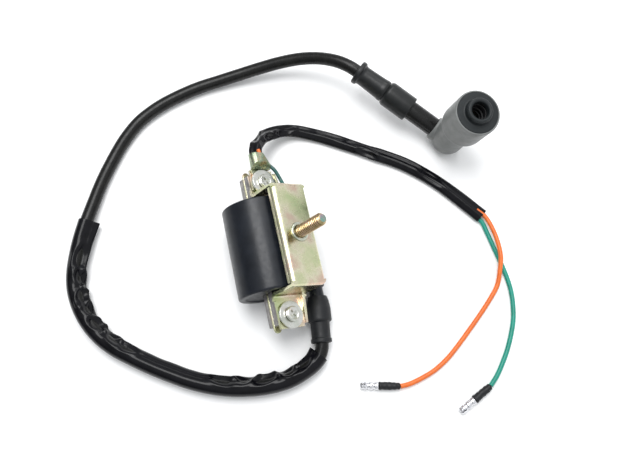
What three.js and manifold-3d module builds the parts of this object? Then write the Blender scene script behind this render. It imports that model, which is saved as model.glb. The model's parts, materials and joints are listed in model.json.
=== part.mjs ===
// External ignition coil for a small engine: moulded coil case on a laminated core, pressed
// bracket with one stud, high-tension lead with a swivelling plug cap, and two low-tension wires
// that end in bullet terminals. Units are millimetres, +Z is up, and the coil lies on its side
// on the surface z = 0 with its core along Y. The origin is under the middle of the coil itself,
// its lead boot included.
import * as THREE from 'three';
import { mergeVertices } from 'three/addons/utils/BufferGeometryUtils.js';
import Module from 'manifold-3d';

const wasm = await Module();
wasm.setup();

// ---- driving dimensions ----
const GAP = 0.3;                  // clearance between pieces that touch
const ORIGIN = { x: 7.51, y: -1.59 };   // the row's origin, measured from where the cords' routes count
const COIL_SHIFT = -1.2;          // the case's centre along Y, measured from the same place
const COIL_ROLL = THREE.MathUtils.degToRad(37.5);   // how far the coil is rolled about its core

const CASE = { radius: 17.35, half: 23.6, bore: 15.5, floor: 2.5, edge: 1.4 };
const TOWER = { w: 24.09, n: 4.74, radius: 3.7, top: -6.8, end: -32.3, web: 3.2, bore: 1.6, depth: 20 };
const PLUG_DISC = { thickness: 2.6, recess: 0.5 };

const CORE = { left: -5.0, right: 6.6, bottom: -3.2, top: 4.8, half: 39.7, lamination: 0.95 };
const STRIP = { left: -5.0, right: 0.3, bottom: -0.2, top: 1.0, half: 43.0 };
const WINDING_CENTRE = { w: 0.8, n: 0.8 };
const PRIMARY = { inner: 7.4, wall: 0.9, rim: 10.6, wound: 10.5, half: 18.2, flange: 1.0 };
const SECONDARY = { inner: 10.9, wall: 0.8, rim: 14.0, wound: 13.8, half: 18.6, flange: 1.0 };

const PLATE = { left: -4.85, right: 15.65, top: 24.4, near: -25.5, far: 28.2 };
const SHEET = 1.6;
const BEND_OUTER = 2.6;
const BEND_FOOT = 1.2;
const FLANGE = { drop: 4.2, inset: 2.3, bend: 2.2 };
const TAB = { top: 6.7, end: 42.0, right: 12.6 };
const LIP = { inner: 11.0, tall: 3.0, short: 0.8, inset: 1.6 };
const SCREW = { w: 2.75, y: 35.6, shank: 2.0, head: 4.4, hole: 2.35 };
const STUD = { w: 5.4, y: 1.4, base: 6.4, radius: 2.95, root: 2.45, tip: 43.4, pitch: 1.0, hole: 5.0 };
const WASHER = { radius: 7.0, thickness: 1.2 };

const LEAD_RADIUS = 3.5;
const WIRE_RADIUS = 1.2;
const CORD_SIDES = 10;
const WIRE_SIDES = 8;

// ---- materials ----
function finish(color, roughness, metalness) {
  return new THREE.MeshStandardMaterial({ color, roughness, metalness });
}
const CASE_BLACK = finish(0x26282c, 0.42, 0.0);
const RESIN = finish(0x1b1c1e, 0.6, 0.0);
const CORE_STEEL = finish(0x9b9a9c, 0.45, 0.7);
const ZINC_YELLOW = finish(0xcfc79a, 0.35, 0.75);
const ZINC_BRIGHT = finish(0xd6d8d6, 0.25, 0.9);
const STUD_BRASSY = finish(0xc2a05a, 0.35, 0.8);
const COPPER = finish(0xa8603a, 0.35, 0.8);
const BOBBIN = finish(0xd8d2bf, 0.6, 0.0);
const BRASS = finish(0xb89a52, 0.3, 0.9);
const RUBBER = finish(0x2c2e30, 0.75, 0.0);
const CAP_RUBBER = finish(0x5a5c5d, 0.8, 0.0);
const LEAD_BLACK = finish(0x1c1d20, 0.35, 0.0);
const PVC_BLACK = finish(0x17181a, 0.22, 0.0);
const WIRE_ORANGE = finish(0xf07a20, 0.45, 0.0);
const WIRE_GREEN = finish(0x10a587, 0.45, 0.0);
const TIN = finish(0xc9cacb, 0.2, 0.95);
const CERAMIC = finish(0xded8c8, 0.7, 0.0);

// ---- solids ----
function toSolid(geometry) {
  const plain = geometry.clone();
  plain.deleteAttribute('normal');
  plain.deleteAttribute('uv');
  const merged = mergeVertices(plain, 1e-4);
  return new wasm.Manifold(new wasm.Mesh({
    numProp: 3,
    vertProperties: new Float32Array(merged.attributes.position.array),
    triVerts: new Uint32Array(merged.index.array),
  }));
}

function toGeometry(solid) {
  const mesh = solid.getMesh();
  const geometry = new THREE.BufferGeometry();
  geometry.setAttribute('position', new THREE.BufferAttribute(mesh.vertProperties, 3));
  geometry.setIndex(new THREE.BufferAttribute(mesh.triVerts, 1));
  geometry.computeVertexNormals();
  return geometry;
}

function cut(base, ...tools) {
  let solid = toSolid(base);
  for (const tool of tools) {
    solid = solid.subtract(toSolid(tool));
  }
  return toGeometry(solid);
}

function join(...pieces) {
  let solid = toSolid(pieces[0]);
  for (const piece of pieces.slice(1)) {
    solid = solid.add(toSolid(piece));
  }
  return toGeometry(solid);
}

// a box from its two corners
function block(x0, x1, y0, y1, z0, z1) {
  const box = new THREE.BoxGeometry(x1 - x0, y1 - y0, z1 - z0);
  return box.translate((x0 + x1) / 2, (y0 + y1) / 2, (z0 + z1) / 2);
}

// a turned piece about +Z, from [radius, height] pairs listed from low to high
function turned(profile, segments = 24) {
  const points = profile.map(([radius, height]) => new THREE.Vector2(radius, height));
  return new THREE.LatheGeometry(points, segments).rotateX(Math.PI / 2);
}

// a turned ring about +Z with a plain rectangular section
function ring(inner, outer, low, high, segments = 28) {
  return turned([[inner, low], [outer, low], [outer, high], [inner, high], [inner, low]], segments);
}

function rod(radius, low, high, segments = 20) {
  return turned([[0, low], [radius, low], [radius, high], [0, high]], segments);
}

// the same, along Y
function alongY(geometry) {
  return geometry.rotateX(-Math.PI / 2);
}

// a section in (x, z) drawn as a Shape and run along Y from y0 to y1
function runAlongY(shape, y0, y1, curveSegments = 4) {
  const options = { depth: y1 - y0, bevelEnabled: false, curveSegments };
  return new THREE.ExtrudeGeometry(shape, options).rotateX(Math.PI / 2).translate(0, y1, 0);
}

// a side profile in (y, z) run along X from x0 to x1
function runAlongX(shape, x0, x1, curveSegments = 4) {
  const options = { depth: x1 - x0, bevelEnabled: false, curveSegments };
  const geometry = new THREE.ExtrudeGeometry(shape, options);
  const turn = new THREE.Matrix4().makeBasis(
    new THREE.Vector3(0, 1, 0),
    new THREE.Vector3(0, 0, 1),
    new THREE.Vector3(1, 0, 0),
  );
  return geometry.applyMatrix4(turn).translate(x0, 0, 0);
}

function polygon(points) {
  return new THREE.Shape(points.map(([x, y]) => new THREE.Vector2(x, y)));
}

function circle(radius, sides) {
  const points = [];
  for (let i = 0; i < sides; i += 1) {
    const angle = (2 * Math.PI * i) / sides;
    points.push([radius * Math.cos(angle), radius * Math.sin(angle)]);
  }
  return polygon(points);
}

function curveThrough(points) {
  const stations = points.map((point) => new THREE.Vector3(...point));
  return new THREE.CatmullRomCurve3(stations, false, 'centripetal');
}

// a cord of round section along a route
function cord(route, radius, sides, steps) {
  const options = { extrudePath: curveThrough(route), steps, bevelEnabled: false };
  return new THREE.ExtrudeGeometry(circle(radius, sides), options);
}

// a hollow sleeve round a cord
function hollowCord(route, inner, outer, sides, steps) {
  const section = circle(outer, sides);
  section.holes.push(circle(inner, sides));
  const options = { extrudePath: curveThrough(route), steps, bevelEnabled: false };
  return new THREE.ExtrudeGeometry(section, options);
}

// a flattened cord: a round one on a raised route, squeezed back down
function flatCord(route, radius, flatness, sides, steps) {
  const raised = route.map(([x, y, z]) => [x, y, z / flatness]);
  return cord(raised, radius, sides, steps).scale(1, 1, flatness);
}

function add(group, name, geometry, material) {
  const mesh = new THREE.Mesh(geometry, material);
  mesh.name = name;
  group.add(mesh);
  return mesh;
}

// a group whose +Z points from one point towards another
function groupAlong(from, towards) {
  const start = new THREE.Vector3(...from);
  const direction = new THREE.Vector3(...towards).sub(start).normalize();
  const group = new THREE.Group();
  group.position.copy(start);
  group.quaternion.setFromUnitVectors(new THREE.Vector3(0, 0, 1), direction);
  return group;
}

// ---- coil body ----
function coreWindow(clearance, y0, y1) {
  const { left, right, bottom, top } = CORE;
  return block(left - clearance, right + clearance, y0, y1, bottom - clearance, top + clearance);
}

function coilCase() {
  const { radius, half, bore, floor, edge } = CASE;
  const shell = alongY(turned([
    [0, -half], [radius - edge, -half], [radius - edge * 0.3, -half + edge * 0.3], [radius, -half + edge],
    [radius, half - edge], [radius - edge * 0.3, half - edge * 0.3], [radius - edge, half],
    [bore, half], [bore, -half + floor], [0, -half + floor],
  ], 48));
  const length = TOWER.top - TOWER.end;
  const tower = alongY(rod(TOWER.radius, 0, length)).translate(TOWER.w, TOWER.end, TOWER.n);
  const reach = Math.hypot(TOWER.w, TOWER.n);
  const sink = 0.6;
  const web = block(bore + sink, reach, sink - half, TOWER.top, -TOWER.web, TOWER.web);
  web.rotateY(-Math.atan2(TOWER.n, TOWER.w));
  const towerBore = alongY(rod(TOWER.bore, -1, TOWER.depth)).translate(TOWER.w, TOWER.end, TOWER.n);
  return cut(join(shell, tower, web), coreWindow(GAP, -half - 1, 0), towerBore);
}

function pottingDisc() {
  const high = CASE.half - PLUG_DISC.recess;
  const disc = alongY(rod(CASE.bore - GAP, high - PLUG_DISC.thickness, high, 48));
  return cut(disc, coreWindow(GAP, 0, CASE.half + 1));
}

function laminatedCore() {
  const { left, right, bottom, top, half, lamination } = CORE;
  const notch = 0.25;
  const layers = Math.round((top - bottom) / lamination);
  const pitch = (top - bottom) / layers;
  const outline = [[left, bottom]];
  for (let i = 0; i < layers; i += 1) {
    const low = bottom + i * pitch;
    outline.push([right, low + notch], [right, low + pitch - notch]);
    if (i < layers - 1) {
      outline.push([right - notch, low + pitch]);
    }
  }
  outline.push([right, top], [left, top]);
  for (let i = layers - 1; i > 0; i -= 1) {
    const low = bottom + i * pitch;
    outline.push([left, low + notch], [left + notch, low], [left, low - notch]);
  }
  outline.splice(1, 0, [right, bottom]);
  const stack = runAlongY(polygon(outline), -half, half);
  const slot = block(left - 1, STRIP.right + GAP, -half - 1, half + 1, STRIP.bottom - GAP, STRIP.top + GAP);
  const hole = rod(SCREW.hole, bottom - 1, top + 1, 20);
  const near = hole.clone().translate(SCREW.w, -SCREW.y, 0);
  const far = hole.clone().translate(SCREW.w, SCREW.y, 0);
  return cut(stack, slot, near, far);
}

function tieStrip() {
  const { left, right, bottom, top, half } = STRIP;
  const radius = (right - left) / 2;
  const shape = new THREE.Shape();
  shape.moveTo(left, -half + radius);
  shape.absarc(left + radius, -half + radius, radius, Math.PI, 2 * Math.PI, false);
  shape.lineTo(right, half - radius);
  shape.absarc(left + radius, half - radius, radius, 0, Math.PI, false);
  shape.closePath();
  const options = { depth: top - bottom, bevelEnabled: false, curveSegments: 10 };
  return new THREE.ExtrudeGeometry(shape, options).translate(0, 0, bottom);
}

// a flanged bobbin or a winding, turned about the core's own line
function aboutCore(profile, segments = 24) {
  return alongY(turned(profile, segments)).translate(WINDING_CENTRE.w, 0, WINDING_CENTRE.n);
}

function bobbin({ inner, wall, rim, half, flange }) {
  return aboutCore([
    [inner, -half], [rim, -half], [rim, -half + flange], [inner + wall, -half + flange],
    [inner + wall, half - flange], [rim, half - flange], [rim, half], [inner, half], [inner, -half],
  ]);
}

function winding({ inner, wall, wound, half, flange }) {
  const low = inner + wall + GAP;
  const end = half - flange - 0.4;
  return aboutCore([[low, -end], [wound, -end], [wound, end], [low, end], [low, -end]]);
}

// ---- bracket ----
function bracketStrap() {
  const outer = BEND_OUTER;
  const inner = outer - SHEET;
  const foot = BEND_FOOT;
  const sole = foot + SHEET;
  const { top, near, far } = PLATE;
  const under = TAB.top - SHEET;
  const right = Math.PI / 2;
  const shape = new THREE.Shape();
  shape.moveTo(-TAB.end, under);
  shape.absarc(near + SHEET - sole, under + sole, sole, -right, 0, false);
  shape.absarc(near + SHEET + inner, top - SHEET - inner, inner, Math.PI, right, true);
  shape.absarc(far - SHEET - inner, top - SHEET - inner, inner, right, 0, true);
  shape.absarc(far - SHEET + sole, under + sole, sole, Math.PI, 3 * right, false);
  shape.lineTo(TAB.end, under);
  shape.lineTo(TAB.end, TAB.top);
  shape.absarc(far + foot, TAB.top + foot, foot, -right, -Math.PI, true);
  shape.absarc(far - outer, top - outer, outer, 0, right, false);
  shape.absarc(near + outer, top - outer, outer, right, Math.PI, false);
  shape.absarc(near - foot, TAB.top + foot, foot, 0, -right, true);
  shape.lineTo(-TAB.end, TAB.top);
  shape.closePath();
  return shape;
}

function flangeSection() {
  const { left, right, top } = PLATE;
  const { drop, bend } = FLANGE;
  const inner = bend - SHEET;
  const low = top - drop;
  const quarter = Math.PI / 2;
  const shape = new THREE.Shape();
  shape.moveTo(left, low);
  shape.lineTo(left + SHEET, low);
  shape.absarc(left + bend, top - bend, inner, Math.PI, quarter, true);
  shape.absarc(right - bend, top - bend, inner, quarter, 0, true);
  shape.lineTo(right - SHEET, low);
  shape.lineTo(right, low);
  shape.absarc(right - bend, top - bend, bend, 0, quarter, false);
  shape.absarc(left + bend, top - bend, bend, quarter, Math.PI, false);
  shape.closePath();
  return shape;
}

function tabLip(side) {
  const wall = side < 0 ? PLATE.near : PLATE.far;
  const start = wall - (side * SHEET) / 2;
  const end = side * (TAB.end - LIP.inset);
  const low = TAB.top - SHEET / 2;
  const points = [[start, low], [end, low], [end, TAB.top + LIP.short], [start, TAB.top + LIP.tall]];
  if (side < 0) {
    points.reverse();
  }
  return runAlongX(polygon(points), LIP.inner, TAB.right);
}

function bracket() {
  const strap = runAlongX(bracketStrap(), PLATE.left, PLATE.right);
  const trim = 2 * BEND_OUTER;
  const { left, right, top, near, far } = PLATE;
  const flatNear = near + BEND_OUTER;
  const flatFar = far - BEND_OUTER;
  const leftEdge = block(left - 1, left + FLANGE.bend, flatNear, flatFar, top - trim, top + 1);
  const rightEdge = block(right - FLANGE.bend, right + 1, flatNear, flatFar, top - trim, top + 1);
  const farTab = block(TAB.right, right + 1, far + SHEET, TAB.end + 1, 0, top / 2);
  const nearTab = block(TAB.right, right + 1, -TAB.end - 1, near - SHEET, 0, top / 2);
  const trimmed = cut(strap, leftEdge, rightEdge, farTab, nearTab);
  const flanges = runAlongY(flangeSection(), near + FLANGE.inset, far - FLANGE.inset);
  const whole = join(trimmed, flanges, tabLip(-1), tabLip(1));
  const screwHole = rod(SCREW.hole, 0, TAB.top + 1, 24);
  return cut(
    whole,
    rod(STUD.hole, PLATE.top - 4, PLATE.top + 1, 32).translate(STUD.w, STUD.y, 0),
    screwHole.clone().translate(SCREW.w, -SCREW.y, 0),
    screwHole.clone().translate(SCREW.w, SCREW.y, 0),
  );
}

// ---- fasteners ----
function mountingStud() {
  const under = PLATE.top - SHEET - GAP;
  const headLow = under - 1.7;
  const start = PLATE.top + 1.4;
  const chamfer = 0.8;
  const profile = [
    [0, headLow], [STUD.base, headLow], [STUD.base, under], [STUD.radius, under], [STUD.radius, start],
  ];
  const turns = Math.floor((STUD.tip - chamfer - start) / STUD.pitch);
  for (let i = 0; i < turns; i += 1) {
    const low = start + i * STUD.pitch;
    profile.push([STUD.root, low + STUD.pitch / 2], [STUD.radius, low + STUD.pitch]);
  }
  profile.push([STUD.root - 0.3, STUD.tip], [0, STUD.tip]);
  return turned(profile, 14).translate(STUD.w, STUD.y, 0);
}

function studCollar() {
  const low = PLATE.top - SHEET;
  const inner = STUD.radius + GAP;
  const outer = STUD.hole - GAP;
  const rim = PLATE.top + 0.8;
  const section = [
    [inner, low], [outer, low], [outer, rim - 0.3], [outer - 0.5, rim], [inner, rim], [inner, low],
  ];
  return turned(section, 20).translate(STUD.w, STUD.y, 0);
}

function panScrew(seat, y) {
  const head = SCREW.head;
  const body = turned([
    [0, CORE.bottom + 0.6], [SCREW.shank, CORE.bottom + 0.6], [SCREW.shank, seat], [head, seat],
    [head, seat + 1.3], [head - 0.5, seat + 2.1], [head - 1.6, seat + 2.6], [0, seat + 2.8],
  ], 20);
  const long = 2.4;
  const thin = 0.55;
  const crossA = block(-long, long, -thin, thin, seat + 1.3, seat + 4);
  const crossB = block(-thin, thin, -long, long, seat + 1.3, seat + 4);
  return cut(body, crossA, crossB).translate(SCREW.w, y, 0);
}

function washer(low) {
  return ring(SCREW.hole, WASHER.radius, low, low + WASHER.thickness);
}

// ---- low-tension clamp and wire ends at the far tab ----
const CLAMP = {
  low: TAB.top + GAP, sheet: 1.0, eye: 6.2, start: 43.4, end: 50.2, width: 9.4, wing: 4.6, narrow: 0.72,
  lean: -0.8,
};

function cableClamp() {
  const { low, sheet, eye, start, end, width, wing } = CLAMP;
  const eyeShape = new THREE.Shape();
  eyeShape.absarc(SCREW.w, SCREW.y, eye, 0, 2 * Math.PI, false);
  const options = { depth: sheet, bevelEnabled: false, curveSegments: 14 };
  const eyePlate = new THREE.ExtrudeGeometry(eyeShape, options);
  eyePlate.translate(0, 0, low);
  const centre = SCREW.w + CLAMP.lean;
  const neck = block(centre - eye + 1.1, centre + eye - 0.3, SCREW.y, start, low, low + sheet);
  const half = width / 2;
  const channel = runAlongY(polygon([
    [-half, 0], [half, 0], [half, wing], [half - 1.6, wing + 1.4], [half - 2.1, wing + 0.6],
    [half - sheet, wing - 0.4], [half - sheet, sheet], [-half + sheet, sheet], [-half + sheet, wing - 0.4],
    [-half + 2.1, wing + 0.6], [-half + 1.6, wing + 1.4], [-half, wing],
  ]), start - 1, end);
  const position = channel.attributes.position;
  for (let i = 0; i < position.count; i += 1) {
    const share = (position.getY(i) - start) / (end - start);
    position.setX(i, position.getX(i) * THREE.MathUtils.lerp(1, CLAMP.narrow, Math.max(share, 0)));
  }
  channel.translate(centre, 0, low);
  const hole = rod(SCREW.hole, low - 1, low + sheet + 1, 24).translate(SCREW.w, SCREW.y, 0);
  return cut(join(eyePlate, neck, channel), hole);
}

// the short wire ends between the clamp and the coil, in the coil's own frame
const ORANGE_TAIL = [[3.2, 45.4, 10.0], [2.7, 48, 10.1], [2.2, 50.6, 10.2]];
const GREEN_TAIL = [
  [8.4, 43.8, 10.4], [9.7, 41.2, 10.7], [11.2, 37.8, 11.1], [12.2, 34.4, 11.6], [12.4, 31.0, 12.6],
];

// ---- high-tension side at the coil ----
const BOOT_FROM = [22.1, -28.7, 6.42];
const BOOT_TOWARDS = [19.0, -52.4, 6.42];

function leadBoot() {
  return turned([
    [4.4, 0], [4.9, 0], [5.7, 2.6], [6.3, 6.2], [6.35, 12.6], [5.9, 13.2], [5.0, 13.4], [4.95, 21.6],
    [5.4, 21.9], [5.4, 23.7], [5.0, 23.9], [4.0, 23.9], [4.0, 5.6], [4.4, 5.2], [4.4, 0],
  ], 24);
}

const LEAD_ROUTE = [
  [21.4, -34.1, 6.42], [20.3, -42.6, 6.42], [19.3, -50.5, 6.42], [18.7, -54.4, 6.3], [16.9, -58, 6.1],
  [13, -61.2, 5.9], [7, -64, 5.8], [-1, -66.4, 5.7], [-11, -67, 5.7], [-21, -66, 5.7],
  [-31, -63.8, 5.7], [-41, -60.2, 5.7], [-50, -55.8, 5.7], [-59, -50.3, 5.7], [-68, -44.3, 5.7],
  [-77, -37.6, 5.7],
  [-85, -31, 5.7], [-91.5, -23.5, 5.7], [-96.8, -14, 5.7], [-99.8, -4, 5.7], [-100.6, 5, 5.7],
  [-99.6, 13, 5.7], [-97.4, 21, 5.7], [-94.6, 29, 5.7], [-90.4, 39, 5.3], [-85.5, 49, 4.6],
  [-79.5, 60.5, 3.9], [-72, 72, 3.7], [-64, 82.5, 3.7], [-54, 92, 3.7], [-41.5, 98.8, 3.7],
  [-29, 103, 3.7], [-17, 105.6, 3.9], [-5, 106.8, 4.5], [7, 107.5, 5.9], [19, 107.7, 8],
  [31, 107, 10.9], [43, 104.8, 14.2], [53, 100.8, 17.4], [61.5, 95.2, 20.2], [67.8, 89.5, 21.2],
  [74.0, 83.0, 19.8],
];
// the loose sleeve on it, from one point of its route to another
const SLEEVE = { first: 4, last: 24, inner: 4.35, outer: 5.3 };

// ---- plug cap, built with its lead tube along -X and its barrel along +Z ----
const ELBOW = new THREE.Vector3(112.6, 41.6, 9.3);
const CAP_PITCH = THREE.MathUtils.degToRad(10.5);
const CAP_HEADING = THREE.MathUtils.degToRad(-47);
const CAP = {
  ball: 9.2, neck: 8.9, skirt: 11.7, flare: 20.5, face: 39.4, bore: 6.8, boss: 6.6, mouth: 4.1, bossTop: 43.0,
};

// places along the lead tube, counted away from the elbow
const TUBE = {
  radius: 5.2, bore: 2.9, start: 5.4, end: 44.8, collar: 26.4, seal: 43.0, seat: 45.2, flange: 59.6,
};

function capGroup() {
  const along = new THREE.Vector3(
    Math.cos(CAP_PITCH) * Math.cos(CAP_HEADING),
    Math.cos(CAP_PITCH) * Math.sin(CAP_HEADING),
    -Math.sin(CAP_PITCH),
  );
  const barrel = new THREE.Vector3(
    Math.sin(CAP_PITCH) * Math.cos(CAP_HEADING),
    Math.sin(CAP_PITCH) * Math.sin(CAP_HEADING),
    Math.cos(CAP_PITCH),
  );
  const side = new THREE.Vector3().crossVectors(barrel, along);
  const group = new THREE.Group();
  group.quaternion.setFromRotationMatrix(new THREE.Matrix4().makeBasis(along, side, barrel));
  group.position.copy(ELBOW);
  return group;
}

// a turned piece of the lead tube: heights count away from the elbow
function onTube(geometry) {
  return geometry.rotateY(-Math.PI / 2);
}

function capElbow() {
  const { ball, neck, skirt, flare, face, bore } = CAP;
  const profile = [[0, -ball]];
  for (let i = 1; i < 8; i += 1) {
    const angle = (i / 8) * (Math.PI / 2);
    profile.push([ball * Math.sin(angle), -ball * Math.cos(angle)]);
  }
  profile.push([ball, 0], [neck, 8], [neck, flare - 3], [skirt - 0.5, flare - 0.6], [skirt, flare + 0.4]);
  profile.push([skirt, face - 0.6], [skirt - 0.6, face], [0, face]);
  const socket = onTube(rod(6.6, 0, ball + 0.8, 24));
  const tubeHole = onTube(rod(TUBE.radius + GAP, TUBE.start - 0.4, ball + 3, 24));
  const wireHole = onTube(rod(2.0, -1, ball, 20));
  return cut(join(turned(profile, 30), socket), rod(bore, 5, face + 1, 24), tubeHole, wireHole);
}

function plugSeal() {
  const { boss, mouth, bore, face, bossTop } = CAP;
  return turned([
    [mouth, 26], [bore - GAP, 26], [bore - GAP, face - 0.6], [boss, face + 0.2], [boss, bossTop - 0.5],
    [boss - 0.5, bossTop], [mouth + 0.5, bossTop], [mouth, bossTop - 0.5], [mouth, 26],
  ], 24);
}

function plugTerminal() {
  return turned([[0, 7.5], [2.6, 7.5], [3.7, 9.5], [3.7, 19.5], [2.9, 19.5], [2.9, 11], [0, 11]], 24);
}

function capTube() {
  const { radius, bore, start, end } = TUBE;
  const hollow = onTube(rod(bore, 13.6, end + 4, 24));
  const tube = onTube(turned([
    [0, start], [radius, start], [radius, end - 0.7], [radius - 0.7, end], [0, end],
  ], 24));
  const nearHole = onTube(rod(1.5, start - 0.4, 14, 20));
  return cut(tube, hollow, nearHole);
}

function capCollar() {
  const inner = TUBE.radius + GAP;
  const low = TUBE.collar;
  const high = TUBE.seal - 0.4;
  return onTube(turned([
    [inner, low], [6.7, low], [7.0, low + 0.5], [7.0, high - 0.7], [6.3, high], [inner, high],
    [inner, low],
  ], 24));
}

function leadSeal() {
  const inner = TUBE.radius + GAP;
  const wire = 3.0;
  const lead = LEAD_RADIUS + 0.7;
  const { seal, seat, flange } = TUBE;
  return onTube(turned([
    [inner, seal], [6.3, seal], [6.3, seal + 2.0], [5.3, seal + 2.8], [5.0, flange - 0.8],
    [5.4, flange - 0.2], [6.4, flange], [6.4, flange + 2.4], [6.1, flange + 2.7], [lead, flange + 2.7],
    [lead, flange - 3], [wire, flange - 3], [wire, seat], [inner, seat], [inner, seal],
  ], 24));
}

function leadSpike() {
  return onTube(turned([
    [0, 36.6], [2.6, 36.6], [2.6, 38.2], [1.2, 38.6], [1.2, 45], [0.3, 48], [0, 48],
  ], 20));
}

function resistor() {
  return onTube(rod(2.5, 14.2, 29.5, 24));
}

function spring() {
  const turns = [];
  const coils = 3;
  const perCoil = 8;
  const steps = coils * perCoil;
  const radius = 1.8;
  const start = 30.3;
  const length = 5.6;
  for (let i = 0; i <= steps; i += 1) {
    const angle = (2 * Math.PI * i) / perCoil;
    turns.push([-start - (length * i) / steps, radius * Math.cos(angle), radius * Math.sin(angle)]);
  }
  return cord(turns, 0.3, 5, steps);
}

function contactPin() {
  return rod(1.1, 5.2, 6.9, 16);
}

// ---- low-tension cords ----
const LT_ROUTE = [
  [5.4, 50.9, 23.6], [5.9, 54.6, 22.8], [7.8, 58.4, 19.4], [11.2, 62.4, 15], [16.4, 65.4, 10.6], [23, 67, 7],
  [30.5, 66.6, 4.4], [38, 64, 2.9], [46, 60, 2.4], [56, 54, 2.3], [66, 47.6, 2.3], [76, 41.4, 2.3],
  [86, 34.6, 2.3], [95, 26.6, 2.3], [103, 18, 2.3], [111, 7.8, 2.3], [120, -4.6, 2.3],
];
const LT_SLEEVE = { radius: 3.65, flatness: 0.62 };
const ORANGE_ROUTE = [
  [121.6, -5.4, 2.9], [123.2, -13, 3.6], [123.5, -21, 4.2], [122.6, -29, 4.3], [120.2, -36, 3.2],
  [117, -43, 1.8], [111.4, -49, 1.4], [104, -55.6, 1.4], [96, -62.2, 1.4], [88, -68.6, 1.4],
  [80.5, -74, 1.4], [72.5, -78.2, 1.4], [64, -80.8, 1.6], [57.6, -82, 1.9], [53.4, -82, 2.1],
];
const ORANGE_END = [53.1, -81.95, 2.1];
const ORANGE_TIP = [33.3, -77.1, 2.1];
const GREEN_ROUTE = [
  [119.2, -7.2, 1.6], [120.4, -14, 1.4], [121.6, -23, 1.3], [122.6, -31, 1.3], [123.4, -39, 1.3],
  [123.4, -47, 1.3], [122.2, -54.5, 1.3], [120, -62, 1.3], [116.6, -69, 1.3], [112.4, -76, 1.3],
  [107.6, -82.4, 1.4],
  [102.8, -87.8, 1.8], [98.2, -91.8, 2.1],
];
const GREEN_END = [97.9, -92.0, 2.1];
const GREEN_TIP = [78.2, -101.3, 2.1];

function insulator() {
  return turned([
    [0, 0], [1.9, 0], [2.0, 0.4], [2.0, 5.4], [1.9, 5.7], [2.0, 6], [2.0, 10.4], [1.8, 10.8], [0, 10.8],
  ], 14);
}

function bulletTerminal() {
  return turned([
    [0, 11.1], [2.05, 11.1], [2.05, 13.4], [1.6, 13.8], [1.6, 14.6], [2.0, 15], [2.0, 17.6], [1.75, 18],
    [1.75, 18.4], [1.95, 18.8], [1.5, 20], [0.7, 20.4], [0, 20.4],
  ], 14);
}

function addWireEnd(parent, name, end, tip) {
  const group = groupAlong(end, tip);
  add(group, `${name}_insulator`, insulator(), RUBBER);
  add(group, `${name}_bullet`, bulletTerminal(), TIN);
  parent.add(group);
}

// ---- assembly ----
const group = new THREE.Group();
group.position.set(-ORIGIN.x, -ORIGIN.y, 0);

const coil = new THREE.Group();
coil.rotation.y = COIL_ROLL;
coil.position.set(0, COIL_SHIFT, CASE.radius);
group.add(coil);
add(coil, 'coil_case', coilCase(), CASE_BLACK);
add(coil, 'potting_disc', pottingDisc(), RESIN);
add(coil, 'laminated_core', laminatedCore(), CORE_STEEL);
add(coil, 'core_tie_strip', tieStrip(), ZINC_YELLOW);
add(coil, 'primary_bobbin', bobbin(PRIMARY), BOBBIN);
add(coil, 'primary_winding', winding(PRIMARY), COPPER);
add(coil, 'secondary_bobbin', bobbin(SECONDARY), BOBBIN);
add(coil, 'secondary_winding', winding(SECONDARY), COPPER);
add(coil, 'bracket', bracket(), ZINC_YELLOW);
add(coil, 'mounting_stud', mountingStud(), STUD_BRASSY);
add(coil, 'stud_collar', studCollar(), ZINC_BRIGHT);

const nearWasherLow = TAB.top + GAP;
const farWasherLow = CLAMP.low + CLAMP.sheet + GAP;
add(coil, 'near_washer', washer(nearWasherLow).translate(SCREW.w, -SCREW.y, 0), ZINC_BRIGHT);
add(coil, 'near_screw', panScrew(nearWasherLow + WASHER.thickness + GAP, -SCREW.y), ZINC_BRIGHT);
add(coil, 'cable_clamp', cableClamp(), ZINC_YELLOW);
add(coil, 'far_washer', washer(farWasherLow).translate(SCREW.w, SCREW.y, 0), ZINC_BRIGHT);
add(coil, 'far_screw', panScrew(farWasherLow + WASHER.thickness + GAP, SCREW.y), ZINC_BRIGHT);
add(coil, 'orange_tail', cord(ORANGE_TAIL, WIRE_RADIUS, WIRE_SIDES, 4), WIRE_ORANGE);
add(coil, 'green_tail', cord(GREEN_TAIL, WIRE_RADIUS, WIRE_SIDES, 14), WIRE_GREEN);
const contact = alongY(rod(TOWER.bore - 0.4, 1.2, TOWER.depth - 2, 16));
add(coil, 'tower_contact', contact.translate(TOWER.w, TOWER.end, TOWER.n), BRASS);

const boot = groupAlong(BOOT_FROM, BOOT_TOWARDS);
add(boot, 'lead_boot', leadBoot(), RUBBER);
group.add(boot);

add(group, 'ht_lead', cord(LEAD_ROUTE, LEAD_RADIUS, CORD_SIDES, 50), LEAD_BLACK);
const sleeveRoute = LEAD_ROUTE.slice(SLEEVE.first, SLEEVE.last + 1);
add(group, 'ht_sleeve', hollowCord(sleeveRoute, SLEEVE.inner, SLEEVE.outer, CORD_SIDES, 28), PVC_BLACK);

const cap = capGroup();
group.add(cap);
add(cap, 'cap_elbow', capElbow(), CAP_RUBBER);
add(cap, 'cap_plug_seal', plugSeal(), CAP_RUBBER);
add(cap, 'cap_terminal', plugTerminal(), BRASS);
add(cap, 'cap_contact_pin', contactPin(), BRASS);
add(cap, 'cap_tube', capTube(), LEAD_BLACK);
add(cap, 'cap_collar', capCollar(), RUBBER);
add(cap, 'cap_lead_seal', leadSeal(), RUBBER);
add(cap, 'cap_lead_spike', leadSpike(), BRASS);
add(cap, 'cap_resistor', resistor(), CERAMIC);
add(cap, 'cap_spring', spring(), TIN);

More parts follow.
